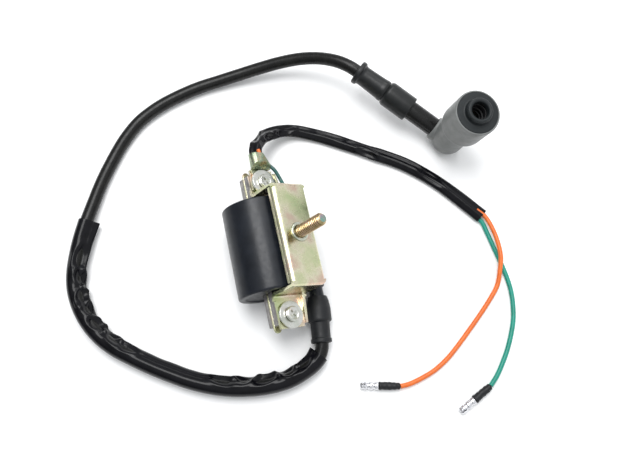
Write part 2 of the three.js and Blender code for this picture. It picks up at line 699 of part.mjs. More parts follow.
const ltSleeve = flatCord(LT_ROUTE, LT_SLEEVE.radius, LT_SLEEVE.flatness, CORD_SIDES, 28);
add(group, 'lt_sleeve', ltSleeve, PVC_BLACK);
add(group, 'orange_wire', cord(ORANGE_ROUTE, WIRE_RADIUS, WIRE_SIDES, 26), WIRE_ORANGE);
add(group, 'green_wire', cord(GREEN_ROUTE, WIRE_RADIUS, WIRE_SIDES, 22), WIRE_GREEN);
addWireEnd(group, 'orange', ORANGE_END, ORANGE_TIP);
addWireEnd(group, 'green', GREEN_END, GREEN_TIP);

export default group;
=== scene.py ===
"""Looks of a small-engine ignition coil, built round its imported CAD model.

Shapes are made in millimetres, in the local frame of the thing they belong to, and are placed in
metres in the row frame.
"""

import json
import math
import random

import bmesh
import bpy
import numpy as np
from mathutils import Matrix, Vector, noise


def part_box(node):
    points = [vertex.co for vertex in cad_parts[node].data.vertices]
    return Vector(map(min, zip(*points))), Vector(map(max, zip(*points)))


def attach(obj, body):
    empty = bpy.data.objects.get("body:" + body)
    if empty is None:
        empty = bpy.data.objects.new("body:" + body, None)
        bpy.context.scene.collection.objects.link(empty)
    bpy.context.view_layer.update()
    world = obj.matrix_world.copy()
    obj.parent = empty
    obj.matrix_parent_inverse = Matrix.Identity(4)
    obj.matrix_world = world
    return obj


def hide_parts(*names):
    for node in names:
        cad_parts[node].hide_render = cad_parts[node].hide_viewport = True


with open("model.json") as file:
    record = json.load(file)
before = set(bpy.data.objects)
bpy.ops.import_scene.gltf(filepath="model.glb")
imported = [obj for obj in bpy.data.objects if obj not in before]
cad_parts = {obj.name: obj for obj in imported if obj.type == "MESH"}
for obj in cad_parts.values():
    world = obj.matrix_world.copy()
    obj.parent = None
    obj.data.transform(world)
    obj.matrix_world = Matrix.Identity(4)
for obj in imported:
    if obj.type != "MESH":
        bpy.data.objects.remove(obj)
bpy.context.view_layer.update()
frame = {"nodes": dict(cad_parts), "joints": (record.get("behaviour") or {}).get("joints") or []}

MM = 0.001
UP = np.array([0.0, 0.0, 1.0])

# ---- places, from the frame ----
CASE_RADIUS = 17.35
COIL_ROLL = math.radians(37.5)
case_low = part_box("coil_case")[0]
core_low, core_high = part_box("laminated_core")
CASE_CENTRE = Vector((case_low.x / MM + CASE_RADIUS, (core_low.y + core_high.y) / 2 / MM, 0))
ROUTE_CENTRE = CASE_CENTRE + Vector((0, 1.2, 0))    # where the cords' routes are counted from
COIL = Matrix.Translation(CASE_CENTRE + Vector((0, 0, CASE_RADIUS))) @ Matrix.Rotation(COIL_ROLL, 4, "Y")

swivel = frame["joints"][0]
TUBE_AXIS = Vector(swivel["axis"]).normalized()
BARREL_AXIS = (Vector(UP) - TUBE_AXIS * TUBE_AXIS.z).normalized()
CAP_SIDE = BARREL_AXIS.cross(TUBE_AXIS)
ELBOW = Vector(swivel["pos_m"]) / MM
CAP = Matrix.Translation(ELBOW) @ Matrix((TUBE_AXIS, CAP_SIDE, BARREL_AXIS)).transposed().to_4x4()
TUBE = CAP @ Matrix.Rotation(-math.pi / 2, 4, "Y")    # its +Z runs along the lead tube, from the elbow

# The coil's sizes, in its own frame: w to the right, y along the core, n out of the bracket's plate.
# Not all are the CAD's: the left of CORE and STRIP, the far SCREW, and parts of FLANGE, STUD, CLAMP and the
# screw's head and seal's mouth differ from part.mjs by up to 1.8 mm.
GAP = 0.3
CASE = {"half": 23.6, "bore": 15.5, "floor": 2.5, "edge": 1.3}
TOWER = {"w": 24.09, "n": 4.74, "radius": 3.7, "top": -6.8, "end": -32.3, "web": 3.2, "bore": 1.6}
CORE = {"left": -3.9, "right": 6.6, "bottom": -3.2, "top": 4.8, "half": 39.7, "layers": 8}
STRIP = {"left": -3.9, "right": 0.3, "bottom": -0.2, "top": 1.0, "half": 43.0}
PLATE = {"left": -4.85, "right": 15.65, "top": 24.4, "near": -25.5, "far": 28.2}
SHEET = 1.6
BEND_OUTER = 2.6
BEND_FOOT = 1.2
FLANGE = {"drop": 4.2, "inset": 2.3, "bend": 2.9, "right_bend": 1.8}
TAB = {"top": 6.7, "end": 42.0, "right": 12.6}
LIP = {"tall": 3.0, "short": 0.8, "inset": 1.6}
SCREW = {"w": 2.75, "y": 35.6, "far": 34.5, "head": 3.8, "hole": 2.35}
STUD = {"w": 5.9, "y": 1.6, "base": 6.4, "radius": 3.2, "root": 2.45, "tip": 43.0, "pitch": 1.25, "hole": 5.1}
WASHER = {"radius": 7.0, "thickness": 1.2}
CAP_SIZE = {"ball": 9.2, "neck": 8.9, "skirt": 11.7, "flare": 20.5, "face": 39.4, "bore": 6.8, "mouth": 4.4}
TUBE_SIZE = {
    "radius": 5.2, "start": 5.4, "end": 44.8, "collar": 26.4, "seal": 43.0, "seat": 45.2, "flange": 59.6,
}
CLAMP = {"low": 7.0, "sheet": 0.9, "eye": 6.2, "start": 41.6, "end": 49.8, "lean": -0.9}

# The cords' routes, in metres from ROUTE_CENTRE. They are the CAD's, but for the first five points of
# LT_ROUTE, which lie 2.9, 2.2, 1.7, 1.5 and 0.5 mm from the CAD's.
LEAD_ROUTE = [
    (0.0214, -0.0341, 0.00642), (0.0203, -0.0426, 0.00642), (0.0193, -0.0505, 0.00642),
    (0.0187, -0.0544, 0.0063), (0.0169, -0.058, 0.0061), (0.013, -0.0612, 0.0059),
    (0.007, -0.064, 0.0058), (-0.001, -0.0664, 0.0057), (-0.011, -0.067, 0.0057),
    (-0.021, -0.066, 0.0057), (-0.031, -0.0638, 0.0057), (-0.041, -0.0602, 0.0057),
    (-0.05, -0.0558, 0.0057), (-0.059, -0.0503, 0.0057), (-0.068, -0.0443, 0.0057),
    (-0.077, -0.0376, 0.0057), (-0.085, -0.031, 0.0057), (-0.0915, -0.0235, 0.0057),
    (-0.0968, -0.014, 0.0057), (-0.0998, -0.004, 0.0057), (-0.1006, 0.005, 0.0057),
    (-0.0996, 0.013, 0.0057), (-0.0974, 0.021, 0.0057), (-0.0946, 0.029, 0.0057),
    (-0.0904, 0.039, 0.0053), (-0.0855, 0.049, 0.0046), (-0.0795, 0.0605, 0.0039),
    (-0.072, 0.072, 0.0037), (-0.064, 0.0825, 0.0037), (-0.054, 0.092, 0.0037),
    (-0.0415, 0.0988, 0.0037), (-0.029, 0.103, 0.0037), (-0.017, 0.1056, 0.0039),
    (-0.005, 0.1068, 0.0045), (0.007, 0.1075, 0.0059), (0.019, 0.1077, 0.008),
    (0.031, 0.107, 0.0109), (0.043, 0.1048, 0.0142), (0.053, 0.1008, 0.0174),
    (0.0615, 0.0952, 0.0202), (0.0678, 0.0895, 0.0212), (0.074, 0.083, 0.0198),
]
SLEEVE_SPAN = (4, 24)    # the loose sleeve's first and last point on the lead's route
LT_ROUTE = [
    (0.0062, 0.0482, 0.0228), (0.007, 0.0528, 0.0223), (0.0092, 0.0574, 0.0192),
    (0.0126, 0.062, 0.015), (0.0168, 0.0652, 0.0106), (0.023, 0.067, 0.007),
    (0.0305, 0.0666, 0.0044), (0.038, 0.064, 0.0029), (0.046, 0.06, 0.0024),
    (0.056, 0.054, 0.0023), (0.066, 0.0476, 0.0023), (0.076, 0.0414, 0.0023),
    (0.086, 0.0346, 0.0023), (0.095, 0.0266, 0.0023), (0.103, 0.018, 0.0023),
    (0.111, 0.0078, 0.0023), (0.12, -0.0046, 0.0023),
]
ORANGE_ROUTE = [
    (0.1216, -0.0054, 0.0029), (0.1232, -0.013, 0.0036), (0.1235, -0.021, 0.0042),
    (0.1226, -0.029, 0.0043), (0.1202, -0.036, 0.0032), (0.117, -0.043, 0.0018),
    (0.1114, -0.049, 0.0014), (0.104, -0.0556, 0.0014), (0.096, -0.0622, 0.0014),
    (0.088, -0.0686, 0.0014), (0.0805, -0.074, 0.0014), (0.0725, -0.0782, 0.0014),
    (0.064, -0.0808, 0.0016), (0.0576, -0.082, 0.0019), (0.0534, -0.082, 0.0021),
]
GREEN_ROUTE = [
    (0.1192, -0.0072, 0.0016), (0.1204, -0.014, 0.0014), (0.1216, -0.023, 0.0013),
    (0.1226, -0.031, 0.0013), (0.1234, -0.039, 0.0013), (0.1234, -0.047, 0.0013),
    (0.1222, -0.0545, 0.0013), (0.12, -0.062, 0.0013), (0.1166, -0.069, 0.0013),
    (0.1124, -0.076, 0.0013), (0.1076, -0.0824, 0.0014), (0.1028, -0.0878, 0.0018),
    (0.0982, -0.0918, 0.0021),
]
BOOT_FROM = (22.1, -28.7, 6.42)
BOOT_TOWARDS = (19.0, -52.4, 6.42)
ORANGE_END = (53.1, -81.95, 2.1)
ORANGE_TIP = (33.3, -77.1, 2.1)
GREEN_END = (97.9, -92.0, 2.1)
GREEN_TIP = (78.2, -101.3, 2.1)
LEAD_RADIUS = 3.5
WIRE_RADIUS = 1.2


def linked(name, data):
    """A new object in the scene."""
    obj = bpy.data.objects.new(name, data)
    bpy.context.scene.collection.objects.link(obj)
    return obj


# ---- camera ----
def make_camera():
    azimuth, elevation, distance = math.radians(-12.68), math.radians(74.67), 0.3285
    target = Vector((0.01887, 0.00926, 0))
    level = math.cos(elevation)
    back = Vector((math.sin(azimuth) * level, -math.cos(azimuth) * level, math.sin(elevation)))
    data = bpy.data.cameras.new("camera")
    data.sensor_width = 36.0
    data.lens = 34.84
    data.clip_start = 0.01
    camera = linked("camera", data)
    camera.location = target + back * distance
    camera.rotation_mode = "QUATERNION"
    camera.rotation_quaternion = (-back).to_track_quat("-Z", "Y")
    bpy.context.scene.camera = camera


# ---- shapes: each is (points, faces) in millimetres ----
def softened(outline, radius, closed=False, steps=4):
    """The outline with each corner rounded off by a short curve."""
    points = [np.array(p, float) for p in outline]
    count = len(points)
    made = []
    for i, corner in enumerate(points):
        if not closed and i in (0, count - 1):
            made.append(corner)
            continue
        before, after = points[i - 1] - corner, points[(i + 1) % count] - corner
        wanted = radius[i] if isinstance(radius, list) else radius
        reach = min(wanted, 0.45 * np.linalg.norm(before), 0.45 * np.linalg.norm(after))
        if reach < 1e-6:
            made.append(corner)
            continue
        start = corner + before / np.linalg.norm(before) * reach
        end = corner + after / np.linalg.norm(after) * reach
        for k in range(steps + 1):
            t = k / steps
            made.append((1 - t) ** 2 * start + 2 * t * (1 - t) * corner + t * t * end)
    return made


def lathe(profile, segments=96, centre=(0, 0), along="z"):
    """A turned shape from (radius, height) pairs. A profile that doesn't end on the axis is a closed ring."""
    ring = profile[0][0] > 1e-6 or profile[-1][0] > 1e-6
    points, rows, faces = [], [], []
    for radius, height in profile:
        if radius <= 1e-6:
            rows.append([len(points)])
            points.append((0, 0, height))
            continue
        rows.append(list(range(len(points), len(points) + segments)))
        for k in range(segments):
            angle = 2 * math.pi * k / segments
            points.append((radius * math.cos(angle), radius * math.sin(angle), height))
    pairs = list(zip(rows, rows[1:]))
    if ring:
        pairs.append((rows[-1], rows[0]))
    for low, high in pairs:
        for k in range(segments):
            after = (k + 1) % segments
            if len(low) == 1:
                faces.append((low[0], high[after], high[k]))
            elif len(high) == 1:
                faces.append((low[k], low[after], high[0]))
            else:
                faces.append((low[k], low[after], high[after], high[k]))
    points = np.array(points, float)
    if along == "y":
        points = points[:, [0, 2, 1]]
        return points + np.array([centre[0], 0, centre[1]]), faces
    return points + np.array([centre[0], centre[1], 0]), faces


def turned(profile, radius, segments=96):
    """A turned ring from a closed profile with its corners rounded off."""
    return lathe(softened(profile, radius, True), segments)


def ring_row(reach, angles, height):
    """A loop of points round the Z axis at one height."""
    return np.stack([reach * np.cos(angles), reach * np.sin(angles), np.full(len(angles), height)], axis=1)


def loft(rows, caps=True, ring=False):
    """A shape skinned over rows of points, each row a closed loop of the same length."""
    count = len(rows[0])
    points = np.concatenate([np.asarray(row, float) for row in rows])
    faces = []
    last = len(rows) if ring else len(rows) - 1
    for i in range(last):
        low, high = i * count, ((i + 1) % len(rows)) * count
        for k in range(count):
            after = (k + 1) % count
            faces.append((low + k, low + after, high + after, high + k))
    if caps and not ring:
        faces.append(tuple(range(count))[::-1])
        faces.append(tuple(range(len(points) - count, len(points))))
    return points, faces


def prism(outline, low, high, along="z"):
    """An outline run straight along an axis: (x, y) along z, (x, z) along y, or (y, z) along x."""
    order = {"z": lambda a, b, c: (a, b, c), "y": lambda a, b, c: (a, c, b), "x": lambda a, b, c: (c, a, b)}
    place = order[along]
    return loft([[place(a, b, c) for a, b in outline] for c in (low, high)])


def block(x0, x1, y0, y1, z0, z1):
    return prism([(x0, y0), (x1, y0), (x1, y1), (x0, y1)], z0, z1)


def rod(radius, low, high, segments=64, centre=(0, 0), along="z"):
    return lathe([(0, low), (radius, low), (radius, high), (0, high)], segments, centre, along)


def arc(centre, radius, start, end, steps=8):
    """Points on a circle between two angles in degrees."""
    angles = np.radians(np.linspace(start, end, steps + 1))
    return [(centre[0] + radius * math.cos(a), centre[1] + radius * math.sin(a)) for a in angles]


def merged(*shapes):
    """Several separate solids as one shape."""
    points, faces, offset = [], [], 0
    for part_points, part_faces in shapes:
        points.append(np.asarray(part_points, float))
        faces += [tuple(index + offset for index in face) for face in part_faces]
        offset += len(part_points)
    return np.concatenate(points), faces


def moved(shape, matrix):
    points, faces = shape
    turn, shift = np.array(matrix.to_3x3()), np.array(matrix.translation)
    return np.asarray(points, float) @ turn.T + shift, faces


def raw_object(name, shape):
    mesh = bpy.data.meshes.new(name)
    mesh.from_pydata([tuple(p) for p in shape[0]], [], shape[1])
    obj = linked(name, mesh)
    work = bmesh.new()
    work.from_mesh(mesh)
    bmesh.ops.recalc_face_normals(work, faces=work.faces)
    work.to_mesh(mesh)
    work.free()
    return obj


def discard(obj):
    mesh = obj.data
    bpy.data.objects.remove(obj)
    bpy.data.meshes.remove(mesh)


def combined(base, adds=(), cuts=()):
    """The base with other shapes joined to it, and then others cut out of it."""
    host = raw_object("host", base)
    for operation, shapes in (("UNION", adds), ("DIFFERENCE", cuts)):
        for shape in shapes:
            tool = raw_object("tool", shape)
            modifier = host.modifiers.new("carve", "BOOLEAN")
            modifier.operation = operation
            modifier.solver = "EXACT"
            modifier.object = tool
            carved = host.evaluated_get(bpy.context.evaluated_depsgraph_get())
            result = bpy.data.meshes.new_from_object(carved)
            host.modifiers.clear()
            old, host.data = host.data, result
            bpy.data.meshes.remove(old)
            discard(tool)
    points = np.array([v.co for v in host.data.vertices], float)
    faces = [tuple(p.vertices) for p in host.data.polygons]
    discard(host)
    return points, faces


def piece(name, shape, place, material, body, stands_for=(), bevel=0.0, sharp=40.0):
    """A finished object of the model from a shape in millimetres, riding on a CAD body."""
    obj = raw_object(name, moved(shape, place))
    mesh = obj.data
    mesh.transform(Matrix.Scale(MM, 4))
    mesh.polygons.foreach_set("use_smooth", [True] * len(mesh.polygons))
    if bevel:
        modifier = obj.modifiers.new("soft_edges", "BEVEL")
        modifier.width = bevel * MM
        modifier.segments = 3
        modifier.limit_method = "ANGLE"
        modifier.angle_limit = math.radians(28)
        shading = obj.modifiers.new("shading", "WEIGHTED_NORMAL")
        shading.keep_sharp = True
    else:
        work = bmesh.new()
        work.from_mesh(mesh)
        for edge in work.edges:
            edge.smooth = edge.calc_face_angle(0) < math.radians(sharp)
        work.to_mesh(mesh)
        work.free()
    mesh.materials.append(material)
    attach(obj, body)
    if stands_for:
        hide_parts(*stands_for)
    return obj


# ---- routes ----
def curve_through(points, per_span=14):
    """The centripetal curve that CAD draws through the same points."""
    p = [np.array(q, float) for q in points]
    p = [2 * p[0] - p[1]] + p + [2 * p[-1] - p[-2]]
    made = []
    for a, b, c, d in zip(p, p[1:], p[2:], p[3:]):
        t1 = math.sqrt(np.linalg.norm(b - a))
        t2 = t1 + math.sqrt(np.linalg.norm(c - b))
        t3 = t2 + math.sqrt(np.linalg.norm(d - c))
        for k in range(per_span):
            t = t1 + (t2 - t1) * k / per_span
            a1 = (t1 - t) / t1 * a + t / t1 * b
            a2 = (t2 - t) / (t2 - t1) * b + (t - t1) / (t2 - t1) * c
            a3 = (t3 - t) / (t3 - t2) * c + (t - t2) / (t3 - t2) * d
            b1 = (t2 - t) / t2 * a1 + t / t2 * a2
            b2 = (t3 - t) / (t3 - t1) * a2 + (t - t1) / (t3 - t1) * a3
            made.append((t2 - t) / (t2 - t1) * b1 + (t - t1) / (t2 - t1) * b2)
    made.append(p[-2])
    return np.array(made)


def evenly(line, step):
    """The line's points again, evenly spaced along it."""
    gaps = np.linalg.norm(np.diff(line, axis=0), axis=1)
    places = np.concatenate([[0], np.cumsum(gaps)])
    wanted = np.linspace(0, places[-1], max(3, int(round(places[-1] / step)) + 1))
    return np.stack([np.interp(wanted, places, line[:, k]) for k in range(3)], axis=1), wanted


def route(points_m, step):
    """A cord's centreline in the row frame, in millimetres, and how far along it each point is."""
    return evenly(curve_through(np.array(points_m) / MM + np.array(ROUTE_CENTRE)), step)


def sides_of(line):
    """For each point of a line: the level direction to its right, and the one above."""
    tangent = np.gradient(line, axis=0)
    tangent /= np.linalg.norm(tangent, axis=1)[:, None]
    right = np.cross(tangent, UP)
    right /= np.linalg.norm(right, axis=1)[:, None]
    return right, np.cross(right, tangent)


def sweep(line, places, section, sides, wall=0.0):
    """Skins a section along a line. section(place, angles) gives how far right and up each point lies.
    With a wall, the result is a sleeve, open at both ends."""
    right, above = sides_of(line)
    angles = np.linspace(0, 2 * math.pi, sides, endpoint=False)
    rows, inner = [], []
    for centre, place, r, u in zip(line, places, right, above):
        across, high = section(place, angles)
        rows.append(centre + across[:, None] * r + high[:, None] * u)
        if wall:
            middle = (across.mean(), high.mean())
            reach = np.hypot(across - middle[0], high - middle[1])
            keep = np.clip(1 - wall / reach, 0.3, 1)
            low_across = middle[0] + (across - middle[0]) * keep
            low_high = middle[1] + (high - middle[1]) * keep
            inner.append(centre + low_across[:, None] * r + low_high[:, None] * u)
    if wall:
        return loft(rows + inner[::-1], ring=True)
    return loft(rows)


def bump_shape(x):
    """1 at x = 0, falling smoothly to 0 at |x| = 1."""
    return np.clip(1 - np.abs(x) ** 2, 0, 1) ** 1.5


def wavy(place, scale, seed):
    return noise.noise(Vector((place / scale, seed * 7.3, seed * 1.7)))


# ---- materials: each has its colour, grain and wear from nodes, on the object's own coordinates ----
def feed(tree, node, **inputs):
    """The node, each input named here set to a value or linked to another node's output."""
    for name, value in inputs.items():
        socket = node.inputs[name.replace("_", " ")]
        if isinstance(value, bpy.types.NodeSocket):
            tree.links.new(value, socket)
        else:
            socket.default_value = value
    return node


class Look:
    """A procedural material in the making."""

    def __init__(self, name, roughness=0.5, metallic=0.0, specular=0.5):
        self.material = bpy.data.materials.new(name)
        self.material.use_nodes = True
        self.tree = self.material.node_tree
        self.shader = self.tree.nodes["Principled BSDF"]
        feed(self.tree, self.shader, Roughness=roughness, Metallic=metallic, Specular_IOR_Level=specular)
        self.where = self.node("TexCoord").outputs["Object"]
        self.normal = None

    def node(self, kind, **inputs):
        return feed(self.tree, self.tree.nodes.new("ShaderNode" + kind), **inputs)

    def grain(self, size_mm, detail=4.0, stretch=(1, 1, 1), roughness=0.55):
        """Noise whose patches are about size_mm across, stretched along the axes."""
        scale = [1 / (size_mm * MM * s) for s in stretch]
        mapping = self.node("Mapping", Scale=scale, Vector=self.where)
        texture = self.node("TexNoise", Scale=1.0, Detail=detail, Roughness=roughness,
                            Vector=mapping.outputs["Vector"])
        return texture.outputs["Fac"]

    def ramp(self, value, stops):
        node = self.node("ValToRGB", Fac=value)
        elements = node.color_ramp.elements
        while len(elements) < len(stops):
            elements.new(0.5)
        for element, (place, color) in zip(elements, stops):
            element.position = place
            element.color = (*color, 1)
        return node.outputs["Color"]

    def over(self, first, second, share):
        """Colour second laid over first where share is high."""
        node = self.node("Mix")
        node.data_type = "RGBA"
        return feed(self.tree, node, Factor=share, A=first, B=second).outputs["Result"]

    def between(self, value, low, high, start=0.35, end=0.65):
        node = self.node("MapRange", Value=value, From_Min=start, From_Max=end, To_Min=low, To_Max=high)
        return node.outputs["Result"]

    def color(self, output):
        feed(self.tree, self.shader, Base_Color=output)

    def rough(self, value, low, high):
        feed(self.tree, self.shader, Roughness=self.between(value, low, high))

    def bump(self, value, depth_mm, strength):
        """Relief from a value, laid over the relief that is already there."""
        node = self.node("Bump", Strength=strength, Distance=depth_mm * MM, Height=value)
        if self.normal:
            feed(self.tree, node, Normal=self.normal)
        self.normal = node.outputs["Normal"]
        feed(self.tree, self.shader, Normal=self.normal)


def moulded(name, dark, light, rough_low, rough_high, grain_mm=0.25, depth_mm=0.02, specular=0.5):
    """Moulded plastic or rubber: fine grain, slow colour change, and dull rubbed patches."""
    look = Look(name, specular=specular)
    patches = look.grain(7, 5)
    fine = look.grain(grain_mm, 3)
    look.color(look.ramp(patches, [(0.3, dark), (0.7, light)]))
    look.rough(look.grain(2.2, 5), rough_low, rough_high)
    look.bump(fine, depth_mm, 0.5)
    look.bump(patches, depth_mm * 6, 0.3)
    return look.material


def skin(name, dark, light, rough_low, rough_high, ripple_mm=0.05, specular=0.5):
    """Extruded insulation: smooth, with faint streaks and dust."""
    look = Look(name, specular=specular)
    streaks = look.grain(4, 4)
    look.color(look.ramp(streaks, [(0.35, dark), (0.75, light)]))
    look.rough(look.grain(1.6, 5), rough_low, rough_high)
    look.bump(look.grain(2.5, 2), ripple_mm, 0.5)
    look.bump(look.grain(0.2, 2), ripple_mm * 0.2, 0.3)
    return look.material


def plated(name, patches, tints, rough_low, rough_high, streak=(1, 1, 1), relief=1.0):
    """Plated steel: cloudy colour from the passivation, fine rolling lines, and small rubbed spots."""
    look = Look(name, metallic=1.0)
    cloud = look.grain(patches, 3, roughness=0.5)
    second = look.grain(patches * 0.45, 4)
    base = look.ramp(cloud, tints)
    worn = look.ramp(second, [(0.0, tints[0][1]), (1.0, tints[-1][1])])
    spots = look.between(look.grain(1.4, 6), 0.0, 0.5, 0.52, 0.7)
    look.color(look.over(base, worn, spots))
    look.rough(second, rough_low, rough_high)
    look.bump(look.grain(0.5, 4, streak), 0.012 * relief, 0.3)
    look.bump(look.grain(3.5, 2), 0.02 * relief, 0.3)
    return look.material


CASE_BLACK = moulded("case_black", (0.005, 0.0065, 0.010), (0.010, 0.0125, 0.018), 0.28, 0.38, 0.25, 0.015,
                     specular=0.32)
RESIN = moulded("resin", (0.012, 0.012, 0.013), (0.03, 0.03, 0.03), 0.45, 0.65, 0.6, 0.05)
BOOT_RUBBER = moulded("boot_rubber", (0.006, 0.007, 0.008), (0.012, 0.013, 0.015), 0.42, 0.54, 0.3, 0.03,
                      specular=0.3)
COLLAR_RUBBER = moulded("collar_rubber", (0.004, 0.005, 0.005), (0.009, 0.010, 0.011), 0.32, 0.42, 0.3, 0.015,
                        specular=0.35)
# A light grey for the elbow: partly its dusty bloom, partly painted sheen standing in for the light on its
# sides.
CAP_RUBBER_BLOOM_AND_SHEEN = moulded("cap_rubber", (0.13, 0.136, 0.134), (0.2, 0.207, 0.203), 0.4, 0.52, 0.3, 0.015)
FACE_RUBBER = moulded("face_rubber", (0.006, 0.009, 0.010), (0.012, 0.015, 0.017), 0.45, 0.6, 0.3, 0.02,
                      specular=0.35)
# The seal's rubber made darker for the rings inside its bore: painted shade in the hole.
BORE_RUBBER_SHADED = moulded("bore_rubber_painted_shade", (0.003, 0.003, 0.004), (0.007, 0.007, 0.008), 0.5, 0.65, 0.3, 0.02)
LEAD_BLACK = skin("lead_black", (0.004, 0.004, 0.004), (0.010, 0.010, 0.009), 0.24, 0.36, specular=0.24)
SLEEVE_BLACK = skin("pvc_black", (0.002, 0.002, 0.003), (0.004, 0.004, 0.006), 0.14, 0.24, 0.04, specular=0.2)
TUBE_BLACK = skin("tube_black", (0.002, 0.002, 0.002), (0.004, 0.004, 0.004), 0.24, 0.32, 0.01, specular=0.35)
WIRE_ORANGE = skin("wire_orange", (0.64, 0.12, 0.010), (0.76, 0.16, 0.018), 0.34, 0.46, 0.02)
WIRE_GREEN = skin("wire_green", (0.0, 0.21, 0.15), (0.003, 0.285, 0.21), 0.34, 0.46, 0.02)
# The green wire's colour much darkened for its tail behind the bracket's end wall: painted shade.
TAIL_GREEN_SHADED = skin("tail_green_painted_shade", (0.002, 0.05, 0.045), (0.004, 0.09, 0.075), 0.3, 0.4, 0.02)
BOBBIN = moulded("bobbin", (0.5, 0.46, 0.34), (0.62, 0.58, 0.46), 0.5, 0.6)
CERAMIC = moulded("ceramic", (0.6, 0.56, 0.45), (0.75, 0.71, 0.6), 0.6, 0.8, 0.15, 0.02)
ZINC_YELLOW = plated("zinc_yellow", 12, [
    (0.33, (0.53, 0.60, 0.34)), (0.45, (0.64, 0.65, 0.42)),
    (0.54, (0.73, 0.69, 0.51)), (0.66, (0.66, 0.50, 0.40)),
], 0.2, 0.32, (1, 12, 1))
# The bracket's yellow zinc made darker and greener for the cable clip: painted shade, with a painted green
# reflection.
CLAMP_ZINC_SHADED = plated("clamp_zinc_painted_shade", 6, [
    (0.30, (0.30, 0.24, 0.13)), (0.45, (0.26, 0.34, 0.24)),
    (0.58, (0.44, 0.48, 0.34)), (0.72, (0.56, 0.44, 0.30)),
], 0.22, 0.34)
ZINC_BRIGHT = plated("zinc_bright", 5, [
    (0.3, (0.54, 0.56, 0.50)), (0.6, (0.69, 0.69, 0.65)), (0.75, (0.64, 0.60, 0.56)),
], 0.24, 0.34, relief=0.3)
COLLAR_ZINC = plated("collar_zinc", 3, [
    (0.3, (0.38, 0.42, 0.33)), (0.5, (0.58, 0.60, 0.50)), (0.7, (0.66, 0.64, 0.55)),
], 0.22, 0.34, relief=0.5)
STUD_BRASSY = plated("stud_brassy", 3, [
    (0.3, (0.34, 0.29, 0.14)), (0.5, (0.45, 0.34, 0.19)), (0.7, (0.52, 0.41, 0.29)),
], 0.2, 0.3, relief=0.4)
# Dark brown for the faces in the stud's thread grooves: painted shade in the recesses between the crests.
STUD_GROOVE_SHADE = plated("stud_groove_painted_shade", 3, [
    (0.3, (0.09, 0.055, 0.02)), (0.5, (0.14, 0.08, 0.04)), (0.7, (0.19, 0.11, 0.08)),
], 0.3, 0.45, relief=0.4)
STUD_TIP = plated("stud_tip", 2.5, [
    (0.35, (0.20, 0.40, 0.33)), (0.55, (0.32, 0.44, 0.38)), (0.7, (0.56, 0.34, 0.44)),
], 0.25, 0.35, relief=0.4)
CORE_STEEL = plated("core_steel", 6, [
    (0.3, (0.15, 0.14, 0.14)), (0.5, (0.27, 0.26, 0.26)), (0.7, (0.34, 0.33, 0.30)),
], 0.3, 0.45, (1, 20, 1))
TIN = plated("tin", 2, [(0.3, (0.60, 0.60, 0.63)), (0.7, (0.84, 0.84, 0.86))], 0.1, 0.2, relief=0.3)
BRASS = plated("brass", 4, [(0.3, (0.50, 0.36, 0.12)), (0.7, (0.66, 0.50, 0.20))], 0.25, 0.4, relief=0.4)
COPPER = plated("copper", 3, [(0.3, (0.45, 0.16, 0.07)), (0.7, (0.62, 0.26, 0.12))], 0.25, 0.4, (12, 0.4, 12))


# ---- cords ----
def round_section(radius):
    def section(place, angles):
        swell = radius * (1 + 0.012 * wavy(place, 9, radius))
        return swell * np.cos(angles), swell * np.sin(angles)
    return section


def pocketed(places_and_sizes, place, angles):
    """How far a sleeve is pushed in by its folds: sunk pockets, each with a raised rim."""
    sunk = np.zeros_like(angles)
    for where, degrees, half_length, half_width, depth, slant in places_and_sizes:
        if abs(place - where) > 2.2 * half_length:
            continue
        turn = np.degrees(np.angle(np.exp(1j * (angles - math.radians(degrees)))))
        x = (place - where - slant * turn) / half_length
        reach = np.sqrt(x * x + (turn / half_width) ** 2)
        sunk += depth * bump_shape(reach)
        sunk -= 0.34 * depth * np.exp(-(((reach - 1.1) / 0.26) ** 2))
    return sunk


# folds: place along the sleeve, side in degrees (0 is the inside of the bend, 90 is up),
# half length, half width in degrees, depth, slant
HT_FOLDS = [
    (10, 55, 6.0, 40, 0.9, 0.06), (20, 25, 5.5, 55, 1.7, -0.05), (31, 45, 6.5, 42, 1.3, 0.08),
    (42, 22, 6.0, 55, 1.7, 0.05), (54, 50, 7.5, 36, 1.0, -0.06), (108, 52, 7.0, 34, 0.9, 0.05),
    (118.5, 24, 5.5, 55, 1.6, -0.06), (128, 46, 5.0, 45, 1.3, 0.07), (137.5, 20, 5.5, 58, 1.8, 0.05),
    (147, 46, 4.8, 46, 1.5, -0.06), (156.5, 22, 5.5, 56, 1.7, 0.05), (169, 55, 8.0, 42, 1.2, -0.03),
]
HT_WIDTHS = [(0, 6.3), (6, 5.4), (14, 4.8), (30, 5.6), (50, 5.6), (70, 5.1), (105, 5.1), (125, 5.5),
             (150, 5.5), (170, 5.8), (181, 6.8), (190, 7.3)]


def ht_sleeve_section(place, angles):
    """A loose sleeve round a lead: it hugs the outer side of the bend, and its slack is on the inner one."""
    c, s = np.cos(angles), np.sin(angles)
    inner = np.interp(place, *zip(*HT_WIDTHS)) + 0.35 * wavy(place, 8, 2)
    inside = np.clip(c, 0, 1)
    across = np.where(c < 0, 4.5 * c, inner * c)
    slack = np.clip((inner - 4.4) / 3, 0, 1)
    height = 4.85 * (1 - (0.25 + 0.45 * slack) * inside ** 1.3)
    height = height * (1 - 0.16 * np.exp(-(((inside - 0.55) / 0.16) ** 2)))
    sunk = pocketed(HT_FOLDS, place, angles)
    return across - sunk * c, -0.55 + height * s - sunk * s * 0.8


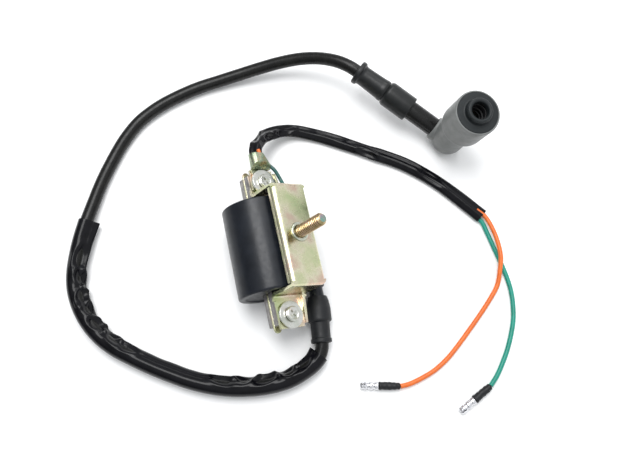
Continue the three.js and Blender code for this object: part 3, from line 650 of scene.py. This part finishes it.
LT_FOLDS = [
    (3, 90, 4.0, 80, 0.4, 0.02), (13, 150, 5.5, 60, 1.1, 0.05), (20, 30, 6.0, 50, 1.2, -0.05),
    (33, 70, 6.0, 60, 0.9, 0.05), (62, 120, 9.0, 32, 0.45, 0.06), (84, 55, 6.5, 44, 0.8, -0.06),
    (122, 80, 9.0, 34, 0.45, -0.05),
]
LT_WIDTHS = [(0, 3.2), (8, 3.4), (20, 3.8), (33, 3.6), (45, 3.8), (84, 3.7), (90, 4.0), (130, 3.8),
             (156, 4.1)]


def lt_sleeve_section(place, angles):
    """A flattened sleeve over two wires: a soft ridge runs along it, wandering from side to side."""
    c, s = np.cos(angles), np.sin(angles)
    half = np.interp(place, *zip(*LT_WIDTHS)) + 0.15 * wavy(place, 14, 5)
    across = half * c
    ridge = 0.9 + 0.7 * wavy(place, 26, 9)
    raised = 0.22 * np.exp(-(((across - ridge) / 1.1) ** 2))
    hollow = 0.18 * np.exp(-(((across + 1.3) / 1.2) ** 2))
    height = 2.0 * np.sign(s) * np.abs(s) ** 0.9 * np.where(s > 0, 1 + raised - hollow, 1)
    sunk = pocketed(LT_FOLDS, place, angles)
    return across - sunk * c, np.maximum(height - sunk * s, -2.2)


WALL = 0.45
IDENTITY = Matrix.Identity(4)


def make_ht_lead():
    line, places = route(LEAD_ROUTE, 1.3)
    shape = sweep(line, places, round_section(LEAD_RADIUS), 40)
    lead = piece("ht_lead_skin", shape, IDENTITY, LEAD_BLACK, "coil", ["ht_lead"])


def make_ht_sleeve():
    first, last = SLEEVE_SPAN
    line, places = route(LEAD_ROUTE[first:last + 1], 0.45)
    shape = sweep(line, places, ht_sleeve_section, 88, WALL)
    return piece("ht_sleeve_skin", shape, IDENTITY, SLEEVE_BLACK, "coil",
                 ["ht_sleeve"], sharp=70)


def make_lt_sleeve():
    line, places = route(LT_ROUTE, 0.5)
    shape = sweep(line, places, lt_sleeve_section, 72, WALL)
    sleeve = piece("lt_sleeve_skin", shape, IDENTITY, SLEEVE_BLACK, "coil",
                   ["lt_sleeve"], sharp=70)


def make_wire(name, points, material, into_sleeve):
    """A thin wire, begun a little way inside the sleeve that it comes out of."""
    inside = (np.array(points[0]) + np.array(into_sleeve)).tolist()
    line, places = route([inside] + list(points), 0.8)
    shape = sweep(line, places, round_section(WIRE_RADIUS), 24)
    wire = piece(f"{name}_wire_skin", shape, IDENTITY, material, "coil", [f"{name}_wire"])


def facing(start, towards):
    """A place at one point, its +Z pointing to another. Both are counted from ROUTE_CENTRE."""
    direction = Vector(towards) - Vector(start)
    turn = Vector((0, 0, 1)).rotation_difference(direction).to_matrix().to_4x4()
    return Matrix.Translation(Vector(start) + ROUTE_CENTRE) @ turn


def squeezed(profile, ripple, waves):
    """A turned shape whose skin is pinched: its radius changes round it as well as along it."""
    rows = []
    angles = np.linspace(0, 2 * math.pi, 48, endpoint=False)
    for radius, height in profile:
        reach = radius * (1 + ripple * np.sin(waves * angles + height * 0.9) * math.sin(height * 0.8) ** 2)
        rows.append(ring_row(reach, angles, height))
    return loft(rows)


def make_wire_end(name, end, tip):
    place = facing(end, tip)
    tube = softened([
        (1.35, 0.0), (1.75, 0.3), (1.7, 1.6), (1.95, 2.4), (1.8, 4.0), (2.0, 5.2), (1.85, 6.4), (2.05, 7.6),
        (1.9, 9.0), (2.15, 10.2), (2.05, 10.75), (1.5, 10.8),
    ], 0.5)
    sleeve = piece(f"{name}_insulator_skin", squeezed(tube, 0.05, 2), place, BOOT_RUBBER, "coil",
                   [f"{name}_insulator"])
    barrel = lathe(softened([
        (0, 10.9), (1.7, 10.9), (1.95, 11.3), (1.95, 12.9), (1.6, 13.2), (1.6, 13.7), (1.98, 14.1),
        (1.98, 15.6), (1.55, 16.0), (1.5, 17.0), (1.95, 17.5), (1.95, 18.3), (1.6, 18.6), (1.6, 18.9),
        (1.9, 19.2), (1.45, 20.2), (0.8, 20.4), (0.75, 19.6), (0, 19.6),
    ], 0.12, steps=2), 48)
    seam = block(-0.14, 0.14, 0.4, 3, 10.5, 20.6)
    slot = block(-3, 3, -0.3, 0.3, 17.3, 21)
    bullet = piece(f"{name}_bullet_metal", combined(barrel, cuts=[seam, slot]), place, TIN, "coil",
                   [f"{name}_bullet"], sharp=30)
    return [sleeve, bullet]


# ---- coil ----
def core_window(clearance, y0, y1):
    return block(CORE["left"] - clearance, CORE["right"] + clearance, y0, y1,
                 CORE["bottom"] - clearance, CORE["top"] + clearance)


def make_case():
    half, bore, floor, edge = CASE["half"], CASE["bore"], CASE["floor"], CASE["edge"]
    rim = softened([
        (0, 0.6 - half), (13.4, 0.6 - half), (14.0, -half), (CASE_RADIUS, -half), (CASE_RADIUS, half),
        (bore, half), (bore, floor - half), (0, floor - half),
    ], [0, 0.3, 0.4, edge, edge, 0.4, 0.3, 0], steps=6)
    shell = lathe(rim, 160, along="y")
    axis = (TOWER["w"], TOWER["n"])
    tower = rod(TOWER["radius"], TOWER["end"], TOWER["top"], 64, axis, "y")
    shoulder = lathe(softened([
        (0, -half + 0.6), (5.0, -half + 0.6), (5.0, TOWER["top"] - 1), (2.2, TOWER["top"] + 3),
        (0, TOWER["top"] + 3),
    ], 1.2), 64, axis, "y")
    reach = math.hypot(*axis)
    root, side = bore + 0.6, TOWER["web"]
    web = prism(softened([
        (root, -side), (reach, -side), (reach, side), (root, side),
    ], 0.4, True), 0.6 - half, TOWER["top"], "y")
    web = moved(web, Matrix.Rotation(-math.atan2(TOWER["n"], TOWER["w"]), 4, "Y"))
    contact_bore = rod(TOWER["bore"], TOWER["end"] - 1, TOWER["end"] + 20, 32, axis, "y")
    shape = combined(shell, [web, shoulder, tower], [core_window(GAP, -half - 1, 0), contact_bore])
    piece("coil_case_shell", shape, COIL, CASE_BLACK, "coil", ["coil_case"], sharp=32)


def make_potting():
    high = CASE["half"] - 0.5
    wall = CASE["bore"] - GAP
    disc = lathe([
        (0, high - 2.6), (wall, high - 2.6), (wall, high + 0.3), (wall - 0.3, high + 0.12),
        (wall - 0.9, high - 0.1), (9, high), (0, high),
    ], 96, along="y")
    shape = combined(disc, cuts=[core_window(GAP, 0, CASE["half"] + 1)])
    piece("potting_resin", shape, COIL, RESIN, "coil", ["potting_disc"])


def make_core():
    chance = random.Random(7)
    layers = CORE["layers"]
    seam = 0.03    # half the gap between two sheets
    pitch = (CORE["top"] - CORE["bottom"]) / layers
    sheets = []
    for i in range(layers):
        low = CORE["bottom"] + i * pitch
        slip, near, far = (chance.uniform(-0.07, 0.07) for _ in range(3))
        sheets.append(block(CORE["left"] + slip, CORE["right"] + slip, -CORE["half"] + near,
                            CORE["half"] + far, low + seam, low + pitch - seam))
    slot = block(CORE["left"] - 1, STRIP["right"] + GAP, -50, 50, STRIP["bottom"] - GAP, STRIP["top"] + GAP)
    stack = merged(*[combined(sheet, cuts=[slot]) for sheet in sheets])
    piece("core_laminations", stack, COIL, CORE_STEEL, "coil", ["laminated_core"], bevel=0.13)


def make_strip():
    radius = (STRIP["right"] - STRIP["left"]) / 2
    middle = STRIP["left"] + radius
    end = STRIP["half"] - radius
    outline = arc((middle, -end), radius, 180, 360, 16) + arc((middle, end), radius, 0, 180, 16)
    shape = prism(outline, STRIP["bottom"], STRIP["top"])
    piece("core_strip_plate", shape, COIL, ZINC_YELLOW, "coil", ["core_tie_strip"], bevel=0.25)


# ---- bracket ----
def strap_outline():
    """The side view of the bracket's strap in (y, n): tab, end wall, plate, end wall, tab."""
    inner = BEND_OUTER - SHEET
    sole = BEND_FOOT + SHEET
    top, near, far = PLATE["top"], PLATE["near"], PLATE["far"]
    under, roof = TAB["top"] - SHEET, top - SHEET - inner
    outline = [(-TAB["end"], under)]
    outline += arc((near + SHEET - sole, under + sole), sole, -90, 0)
    outline += arc((near + SHEET + inner, roof), inner, 180, 90)
    outline += arc((far - SHEET - inner, roof), inner, 90, 0)
    outline += arc((far - SHEET + sole, under + sole), sole, 180, 270)
    outline += [(TAB["end"], under), (TAB["end"], TAB["top"])]
    outline += arc((far + BEND_FOOT, TAB["top"] + BEND_FOOT), BEND_FOOT, -90, -180)
    outline += arc((far - BEND_OUTER, top - BEND_OUTER), BEND_OUTER, 0, 90)
    outline += arc((near + BEND_OUTER, top - BEND_OUTER), BEND_OUTER, 90, 180)
    outline += arc((near - BEND_FOOT, TAB["top"] + BEND_FOOT), BEND_FOOT, 0, -90)
    outline.append((-TAB["end"], TAB["top"]))
    return outline


def flange_outline():
    """The plate with its two side flanges in (w, n)."""
    left, right, top = PLATE["left"], PLATE["right"], PLATE["top"]
    bend, right_bend, low = FLANGE["bend"], FLANGE["right_bend"], top - FLANGE["drop"]
    outline = [(left, low), (left + SHEET, low)]
    outline += arc((left + bend, top - bend), bend - SHEET, 180, 90)
    outline += arc((right - right_bend, top - right_bend), right_bend - SHEET, 90, 0)
    outline += [(right - SHEET, low), (right, low)]
    outline += arc((right - right_bend, top - right_bend), right_bend, 0, 90)
    outline += arc((left + bend, top - bend), bend, 90, 180)
    return outline


def lip(side):
    """The turned-up right edge of a tab, tallest at the end wall."""
    right, low, top = TAB["right"], TAB["top"] - SHEET, TAB["top"]
    rows = []
    start = PLATE["far"] - SHEET / 2 if side > 0 else PLATE["near"] + SHEET / 2
    end = side * (TAB["end"] - LIP["inset"])
    for share in np.linspace(0, 1, 7):
        y = start + share * (end - start)
        peak = top + LIP["tall"] + (LIP["short"] - LIP["tall"]) * share ** 1.3
        outline = [(right - 3, low)] + arc((right - 2, low + 2), 2, -90, 0, 6) + [(right, peak - 0.4)]
        outline += arc((right - 0.4, peak - 0.4), 0.4, 0, 90, 3)
        outline += arc((right - 1.2, peak - 0.4), 0.4, 90, 180, 3)
        outline += arc((right - 2.0, top + 0.4), 0.4, 0, -90, 3) + [(right - 3, top)]
        rows.append([(w, y, n) for w, n in outline])
    return loft(rows)


def corner_cutter(corner_w, side_w, corner_y, side_y):
    """What is taken off a corner of the plate to round it, fading out down the end wall."""
    top = PLATE["top"]
    rows = []
    for height, radius in ((top - 9, 0.05), (top - 3.5, 2.0), (top + 1, 2.4)):
        middle = (corner_w - side_w * radius, corner_y - side_y * radius)
        turn = [(math.sin(a), math.cos(a)) for a in np.linspace(0, math.pi / 2, 9)]
        edge = [(middle[0] + side_w * radius * a, middle[1] + side_y * radius * b) for a, b in turn]
        beyond_w, beyond_y = corner_w + side_w, corner_y + side_y
        outline = edge + [(beyond_w, middle[1]), (beyond_w, beyond_y), (middle[0], beyond_y)]
        rows.append([(w, y, height) for w, y in outline])
    return loft(rows)


def make_bracket():
    left, right, top, near, far = (PLATE[key] for key in ("left", "right", "top", "near", "far"))
    strap = prism(strap_outline(), left, right, "x")
    bend = FLANGE["bend"]
    near_inset, far_inset = 0.9, 1.9    # of the tabs' left edges; part.mjs has neither
    flat = (near + BEND_OUTER, far - BEND_OUTER)
    trims = [
        block(left - 1, left + bend, *flat, top - 2 * BEND_OUTER, top + 1),
        block(right - FLANGE["right_bend"], right + 1, *flat, top - 2 * BEND_OUTER, top + 1),
        block(TAB["right"] - 2, right + 1, far + SHEET, TAB["end"] + 1, 0, top / 2),
        block(TAB["right"] - 2, right + 1, -TAB["end"] - 1, near - SHEET, 0, top / 2),
        block(left - 1, left + near_inset, -TAB["end"] - 1, near - SHEET - 1, 0, top / 2),
        block(left - 1, left + far_inset, far + SHEET + 1, TAB["end"] + 1, 0, top / 2),
    ]
    for corner_w, side_w in ((left, -1), (right, 1)):
        for corner_y, side_y in ((near, -1), (far, 1)):
            trims.append(corner_cutter(corner_w, side_w, corner_y, side_y))
    flanges = prism(flange_outline(), near + FLANGE["inset"], far - FLANGE["inset"], "y")
    holes = [rod(SCREW["hole"], 0, TAB["top"] + 1, 48, (SCREW["w"], side * SCREW["y"])) for side in (-1, 1)]
    holes.append(rod(STUD["hole"], top - 4, top + 1, 64, (STUD["w"], STUD["y"])))
    shape = combined(combined(strap, cuts=trims), [flanges, lip(-1), lip(1)], holes)
    piece("bracket_pressing", shape, COIL, ZINC_YELLOW, "coil", ["bracket"], bevel=0.24)


def make_stud():
    under = PLATE["top"] - SHEET - GAP
    start, tip, pitch = PLATE["top"] + 0.9, STUD["tip"], STUD["pitch"]
    angles = np.linspace(0, 2 * math.pi, 64, endpoint=False)
    flank = STUD["radius"] - STUD["root"]
    plain = softened([
        (STUD["base"] - 0.1, under - 1.7), (STUD["base"], under - 1.6), (STUD["base"], under),
        (STUD["radius"], under), (STUD["radius"], start),
    ], 0.15)
    rows = [ring_row(r, angles, h) for r, h in plain]
    for height in np.arange(start + 0.1, tip + 0.001, 0.1):
        turn = (height / pitch - angles / (2 * math.pi)) % 1
        depth = flank * (1 - np.abs(2 * turn - 1)) * min(1, (height - start) / 0.8)
        reach = np.minimum(STUD["radius"] - depth, STUD["root"] - 0.35 + (tip - height) * 1.0)
        rows.append(ring_row(reach, angles, height))
    place = COIL @ Matrix.Translation((STUD["w"], STUD["y"], 0))
    thread = piece("mounting_stud_thread", loft(rows), place, STUD_BRASSY, "coil",
                   ["mounting_stud"], sharp=50)
    # The faces inside the crests get the dark groove material: painted shade down in the thread.
    thread.data.materials.append(STUD_GROOVE_SHADE)
    bpy.context.view_layer.update()
    axis_point, axis = place.translation, (COIL.to_3x3() @ Vector((0, 0, 1))).normalized()
    crest = STUD["radius"] - 0.35 * flank
    for face in thread.data.polygons:
        reach = (thread.matrix_world @ face.center) / MM - axis_point
        height = reach.dot(axis)
        if start + 0.4 < height < tip - 0.8 and (reach - axis * height).length < crest:
            face.material_index = 1
    low, high = tip - 0.05, tip + 0.06
    face = lathe(softened([(0, low), (1.95, low), (1.95, high), (0, high)], 0.05), 48)
    piece("mounting_stud_tip", face, place, STUD_TIP, "coil")
    low, rim = PLATE["top"] - SHEET, PLATE["top"] + 0.8
    inner, outer = STUD["radius"] + 0.15, STUD["hole"] - 0.1
    collar = turned([
        (inner, low), (outer, low), (outer, rim - 0.25), (outer - 0.7, rim), (inner, rim),
    ], 0.3, 64)
    piece("stud_collar_ring", collar, place, COLLAR_ZINC, "coil", ["stud_collar"])


def make_screw(name, seat, y):
    """A pan screw with a cross recess in a slightly dished head, on its washer."""
    place = COIL @ Matrix.Translation((SCREW["w"], y, 0))
    head = SCREW["head"]
    body = lathe(softened([
        (0, CORE["bottom"] + 0.6), (2, CORE["bottom"] + 0.6), (2, seat), (head, seat), (head, seat + 1.3),
        (head - 0.7, seat + 1.7), (head - 1.4, seat + 1.3), (0, seat + 1.1),
    ], [0, 0.1, 0.1, 0.15, 0.5, 0.3, 0.3, 0]), 72)
    tapered = []
    for turn in (0, math.pi / 2):
        rows = [[(-a, -b, h), (a, -b, h), (a, b, h), (-a, b, h)]
                for a, b, h in ((1.2, 0.35, seat + 0.2), (2.0, 0.6, seat + 1.2), (2.2, 0.7, seat + 3))]
        tapered.append(moved(loft(rows), Matrix.Rotation(turn + 0.5, 4, "Z")))
    piece(f"{name}_screw_head", combined(body, cuts=tapered), place, ZINC_BRIGHT, "coil",
          [f"{name}_screw"], sharp=30)
    low = seat - GAP - WASHER["thickness"]
    hole, rim, high = SCREW["hole"], WASHER["radius"], seat - GAP
    washer = turned([(hole, low), (rim, low), (rim, high), (hole, high)], 0.35)
    piece(f"{name}_washer_ring", washer, place, ZINC_BRIGHT, "coil",
          [f"{name}_washer"], sharp=50)


def rounded_box(width, height, radius, low, steps=6):
    """A rounded rectangle in (w, n), centred across and standing on low."""
    side, top = width / 2 - radius, low + height - radius
    outline = arc((side, low + radius), radius, -90, 0, steps) + arc((side, top), radius, 0, 90, steps)
    outline += arc((-side, top), radius, 90, 180, steps)
    return outline + arc((-side, low + radius), radius, 180, 270, steps)


def make_clamp():
    """A cable clip: an eye under the screw, and a neck that widens into a barrel round the wires."""
    low, sheet, start, end = CLAMP["low"], CLAMP["sheet"], CLAMP["start"], CLAMP["end"]
    middle = SCREW["w"] + CLAMP["lean"]
    outer, inner = [], []
    for y in np.linspace(start, end, 12):
        share = (y - start) / (end - start)
        width, height = 11.6 - 3.2 * share, 6.6 - 1.0 * share
        shift = middle + 0.2 - 1.3 * share
        for rows, wall in ((outer, 0), (inner, sheet)):
            section = rounded_box(width - 2 * wall, height - 2 * wall, 2.6 - wall, low + wall)
            reach = y if wall == 0 else start - 1 + (end - start + 2) * share
            rows.append([(w + shift, reach, n) for w, n in section])
    slant = prism([(start - 1, low + sheet), (start + 3.4, low + 8), (start - 1, low + 8)], -9, 12, "x")
    hollow = combined(loft(inner), cuts=[block(-20, 20, start - 5, start + 4.5, 0, 20)])
    barrel = combined(loft(outer), cuts=[hollow, slant])
    eye = rod(CLAMP["eye"], low, low + sheet, 64, (SCREW["w"], SCREW["far"]))
    neck = block(middle - 4.4, middle + 4.6, SCREW["far"] + 2.5, start + 1, low, low + sheet)
    hole = rod(SCREW["hole"], low - 1, low + sheet + 1, 48, (SCREW["w"], SCREW["far"]))
    shape = combined(eye, [neck, barrel], [hole])
    piece("cable_clamp_clip", shape, COIL, CLAMP_ZINC_SHADED, "coil", ["cable_clamp"], bevel=0.16)


def make_tails():
    """The wires' short ends between the clamp and the coil."""
    orange = [(2.4, 46.0, 10.0), (2.3, 48.0, 10.7), (2.1, 50.0, 11.2), (1.9, 52.0, 11.0)]
    green = [(7.2, 44.6, 9.6), (8.2, 43.4, 10.0), (9.7, 41.2, 10.8), (11.2, 37.8, 11.1), (12.2, 34.4, 11.5),
             (12.4, 31.2, 12.5)]
    # The green tail takes the darkened green: painted shade behind the end wall.
    for name, points, material in (("orange", orange, WIRE_ORANGE), ("green", green, TAIL_GREEN_SHADED)):
        line, places = evenly(curve_through(np.array(points)), 0.6)
        shape = sweep(line, places, round_section(0.8 * WIRE_RADIUS), 24)
        piece(f"{name}_tail_skin", shape, COIL, material, "coil", [f"{name}_tail"])


def make_boot():
    outer = [
        (4.9, 0), (5.7, 2.6), (6.25, 6.2), (6.35, 12.4), (5.8, 13.3), (5.0, 13.5), (4.95, 21.5), (5.4, 21.9),
        (5.4, 23.6), (5.0, 23.9), (4.0, 23.9), (4.0, 5.6), (4.4, 5.2), (4.4, 0),
    ]
    shape = turned(outer, 0.45)
    piece("lead_boot_rubber", shape, facing(BOOT_FROM, BOOT_TOWARDS), BOOT_RUBBER, "coil",
          ["lead_boot"], sharp=50)


# ---- plug cap ----
def make_elbow():
    ball_radius, neck, skirt, flare, face, bore = (
        CAP_SIZE[key] for key in ("ball", "neck", "skirt", "flare", "face", "bore"))
    ball = arc((0, 0), ball_radius, -90, 0, 20)
    profile = [(max(x, 0), z) for x, z in ball[:-1]] + softened([
        (ball_radius, 0), (neck, 8), (neck, flare - 2.6), (skirt - 0.4, flare - 0.5), (skirt, flare + 0.8),
        (skirt, face - 0.6), (skirt - 0.4, face), (skirt - 0.9, face), (skirt - 1.0, face - 0.7),
        (bore, face - 0.7), (bore, 5.0), (0, 5.0),
    ], [0, 2, 0.8, 0.9, 0.8, 0.5, 0.2, 0.15, 0.1, 0.2, 0.2, 0])
    body = lathe(profile, 128)
    tubewards = Matrix.Rotation(-math.pi / 2, 4, "Y")
    socket = moved(lathe(softened([(0, 0), (6.6, 0), (6.6, 10), (0, 10)], 0.6), 64), tubewards)
    tube_hole = rod(TUBE_SIZE["radius"] + GAP, 5.0, 12.2, 64)
    holes = [moved(tube_hole, tubewards), moved(rod(2.0, -1, 9.2, 32), tubewards)]
    shape = combined(body, [socket], [rod(bore, 5.0, 20, 128)] + holes)
    piece("cap_elbow_body", shape, CAP, CAP_RUBBER_BLOOM_AND_SHEEN, "plug_cap", ["cap_elbow"], sharp=38)


def make_plug_seal():
    """The seal in the barrel's mouth: a flange across the face, a boss, and rings inside its bore."""
    face, bore, mouth, skirt = (CAP_SIZE[key] for key in ("face", "bore", "mouth", "skirt"))
    rim = face + 3.6
    shell = turned([
        (bore - GAP, 26), (bore - GAP, face - 0.6), (skirt - 1.1, face - 0.6), (skirt - 1.05, face - 0.05),
        (7.4, face), (6.8, face + 0.3), (6.6, rim - 0.8), (6.0, rim), (mouth + 0.7, rim), (mouth, rim - 0.6),
        (mouth, face), (mouth + 1.2, face - 0.4), (mouth + 1.2, 26),
    ], 0.35)
    piece("cap_seal_rubber", shell, CAP, FACE_RUBBER, "plug_cap", ["cap_plug_seal"], sharp=50)
    rings = []
    for low in (28.5, 31.5, 34.5):
        crest, foot = mouth - 0.5, mouth + 0.3
        rings += [(crest, low), (foot, low + 0.5), (foot, low + 1.8), (crest, low + 2.3)]
    profile = [(mouth + 1.1, 26), (mouth + 1.1, face - 0.9), (mouth - 0.1, face - 0.5)] + rings[::-1]
    profile.append((mouth - 0.5, 26))
    bore_lining = turned(profile, 0.3)
    piece("cap_seal_rings", bore_lining, CAP, BORE_RUBBER_SHADED, "plug_cap", sharp=50)


def make_cap_tube():
    radius, start, end, collar_low, seal, seat, flange = (
        TUBE_SIZE[key] for key in ("radius", "start", "end", "collar", "seal", "seat", "flange"))
    tube = turned([
        (1.5, start), (radius, start), (radius, end), (2.9, end), (2.9, 14), (1.5, 14),
    ], 0.3)
    piece("cap_tube_shell", tube, TUBE, TUBE_BLACK, "plug_cap", ["cap_tube"])
    inner, top = radius + 0.1, seal - 0.15
    collar = turned([
        (inner, collar_low), (6.8, collar_low), (7.0, collar_low + 0.5), (7.0, top - 1.4), (6.3, top - 0.3),
        (5.9, top), (inner, top),
    ], [0.1, 0.3, 0.3, 0.7, 0.4, 0.2, 0.1])
    piece("cap_collar_ring", collar, TUBE, COLLAR_RUBBER, "plug_cap", ["cap_collar"])
    pocket = LEAD_RADIUS + 0.2
    seal_shape = turned([
        (inner, seal), (5.9, seal), (6.1, seal + 1.6), (5.8, seal + 3.4), (5.3, flange - 1.4),
        (5.6, flange - 0.3), (6.6, flange + 0.2), (6.6, flange + 2.2), (6.0, flange + 2.7),
        (pocket, flange + 2.7), (pocket, flange - 3), (3.0, flange - 3), (3.0, seat), (inner, seat),
    ], 0.5)
    piece("cap_lead_seal_rubber", seal_shape, TUBE, COLLAR_RUBBER, "plug_cap",
          ["cap_lead_seal"])


def paint_inner_nodes():
    """The CAD nodes that stay as they are get their materials."""
    looks = {
        "primary_bobbin": BOBBIN, "secondary_bobbin": BOBBIN, "primary_winding": COPPER,
        "secondary_winding": COPPER, "tower_contact": BRASS, "cap_terminal": BRASS, "cap_contact_pin": BRASS,
        "cap_lead_spike": BRASS, "cap_resistor": CERAMIC, "cap_spring": TIN,
    }
    for node, material in looks.items():
        obj = frame["nodes"][node]
        obj.data.materials.clear()
        obj.data.materials.append(material)


# ---- stage ----
def make_floor():
    mesh = bpy.data.meshes.new("floor")
    size = 3.0
    corners = [(-size, -size, 0), (size, -size, 0), (size, size, 0), (-size, size, 0)]
    mesh.from_pydata(corners, [], [(0, 1, 2, 3)])
    floor = linked("floor", mesh)
    look = Look("floor", roughness=0.9, specular=0.1)
    look.color(look.ramp(look.grain(60, 2), [(0.3, (0.93, 0.93, 0.93)), (0.7, (0.95, 0.95, 0.95))]))
    mesh.materials.append(look.material)


def make_lights():
    """A room brighter overhead and to the right, a large softbox overhead, and a small one right and back."""
    world = bpy.data.worlds.new("studio")
    world.use_nodes = True
    tree = world.node_tree
    nodes, links = tree.nodes, tree.links
    where = nodes.new("ShaderNodeTexCoord")
    split = nodes.new("ShaderNodeSeparateXYZ")
    links.new(where.outputs["Generated"], split.inputs["Vector"])
    raised = nodes.new("ShaderNodeMath")
    raised.operation = "MULTIPLY_ADD"
    raised.inputs[1].default_value = 1.3
    links.new(split.outputs["Z"], raised.inputs[0])
    links.new(split.outputs["X"], raised.inputs[2])
    spread = feed(tree, nodes.new("ShaderNodeMapRange"), Value=raised.outputs["Value"],
                  From_Min=-0.5, From_Max=1.0, To_Min=0.2, To_Max=0.95)
    feed(tree, nodes["Background"], Strength=spread.outputs["Result"], Color=(0.96, 0.98, 1.0, 1))
    bpy.context.scene.world = world
    for name, place, sizes, power in (
        ("main_softbox", (-0.02, 0.22, 0.7), (0.4, 0.44), 4.0),
        ("side_softbox", (0.34, 0.42, 0.5), (0.12, 0.4), 0.8),
    ):
        data = bpy.data.lights.new(name, "AREA")
        data.shape = "RECTANGLE"
        data.size, data.size_y = sizes
        data.energy = power
        light = linked(name, data)
        light.location = place
        light.rotation_euler = (-Vector(place)).to_track_quat("-Z", "Y").to_euler()


def make_all():
    make_camera()
    sleeve = make_ht_sleeve()
    make_lt_sleeve()
    orange_end = make_wire_end("orange", ORANGE_END, ORANGE_TIP)
    green_end = make_wire_end("green", GREEN_END, GREEN_TIP)
    into_sleeve = (-0.0035, 0.0049, 0)
    make_wire("orange", ORANGE_ROUTE, WIRE_ORANGE, into_sleeve)
    make_wire("green", GREEN_ROUTE, WIRE_GREEN, into_sleeve)
    make_case()
    make_potting()
    make_core()
    make_strip()
    make_bracket()
    make_stud()
    near_seat = TAB["top"] + GAP + WASHER["thickness"] + GAP
    make_screw("near", near_seat, -SCREW["y"])
    make_screw("far", near_seat + CLAMP["sheet"] + GAP, SCREW["far"])
    make_clamp()
    make_tails()
    make_boot()
    make_elbow()
    make_plug_seal()
    make_cap_tube()
    paint_inner_nodes()
    make_ht_lead()
    make_floor()
    make_lights()


make_all()
bpy.context.scene.view_settings.view_transform = "Standard"
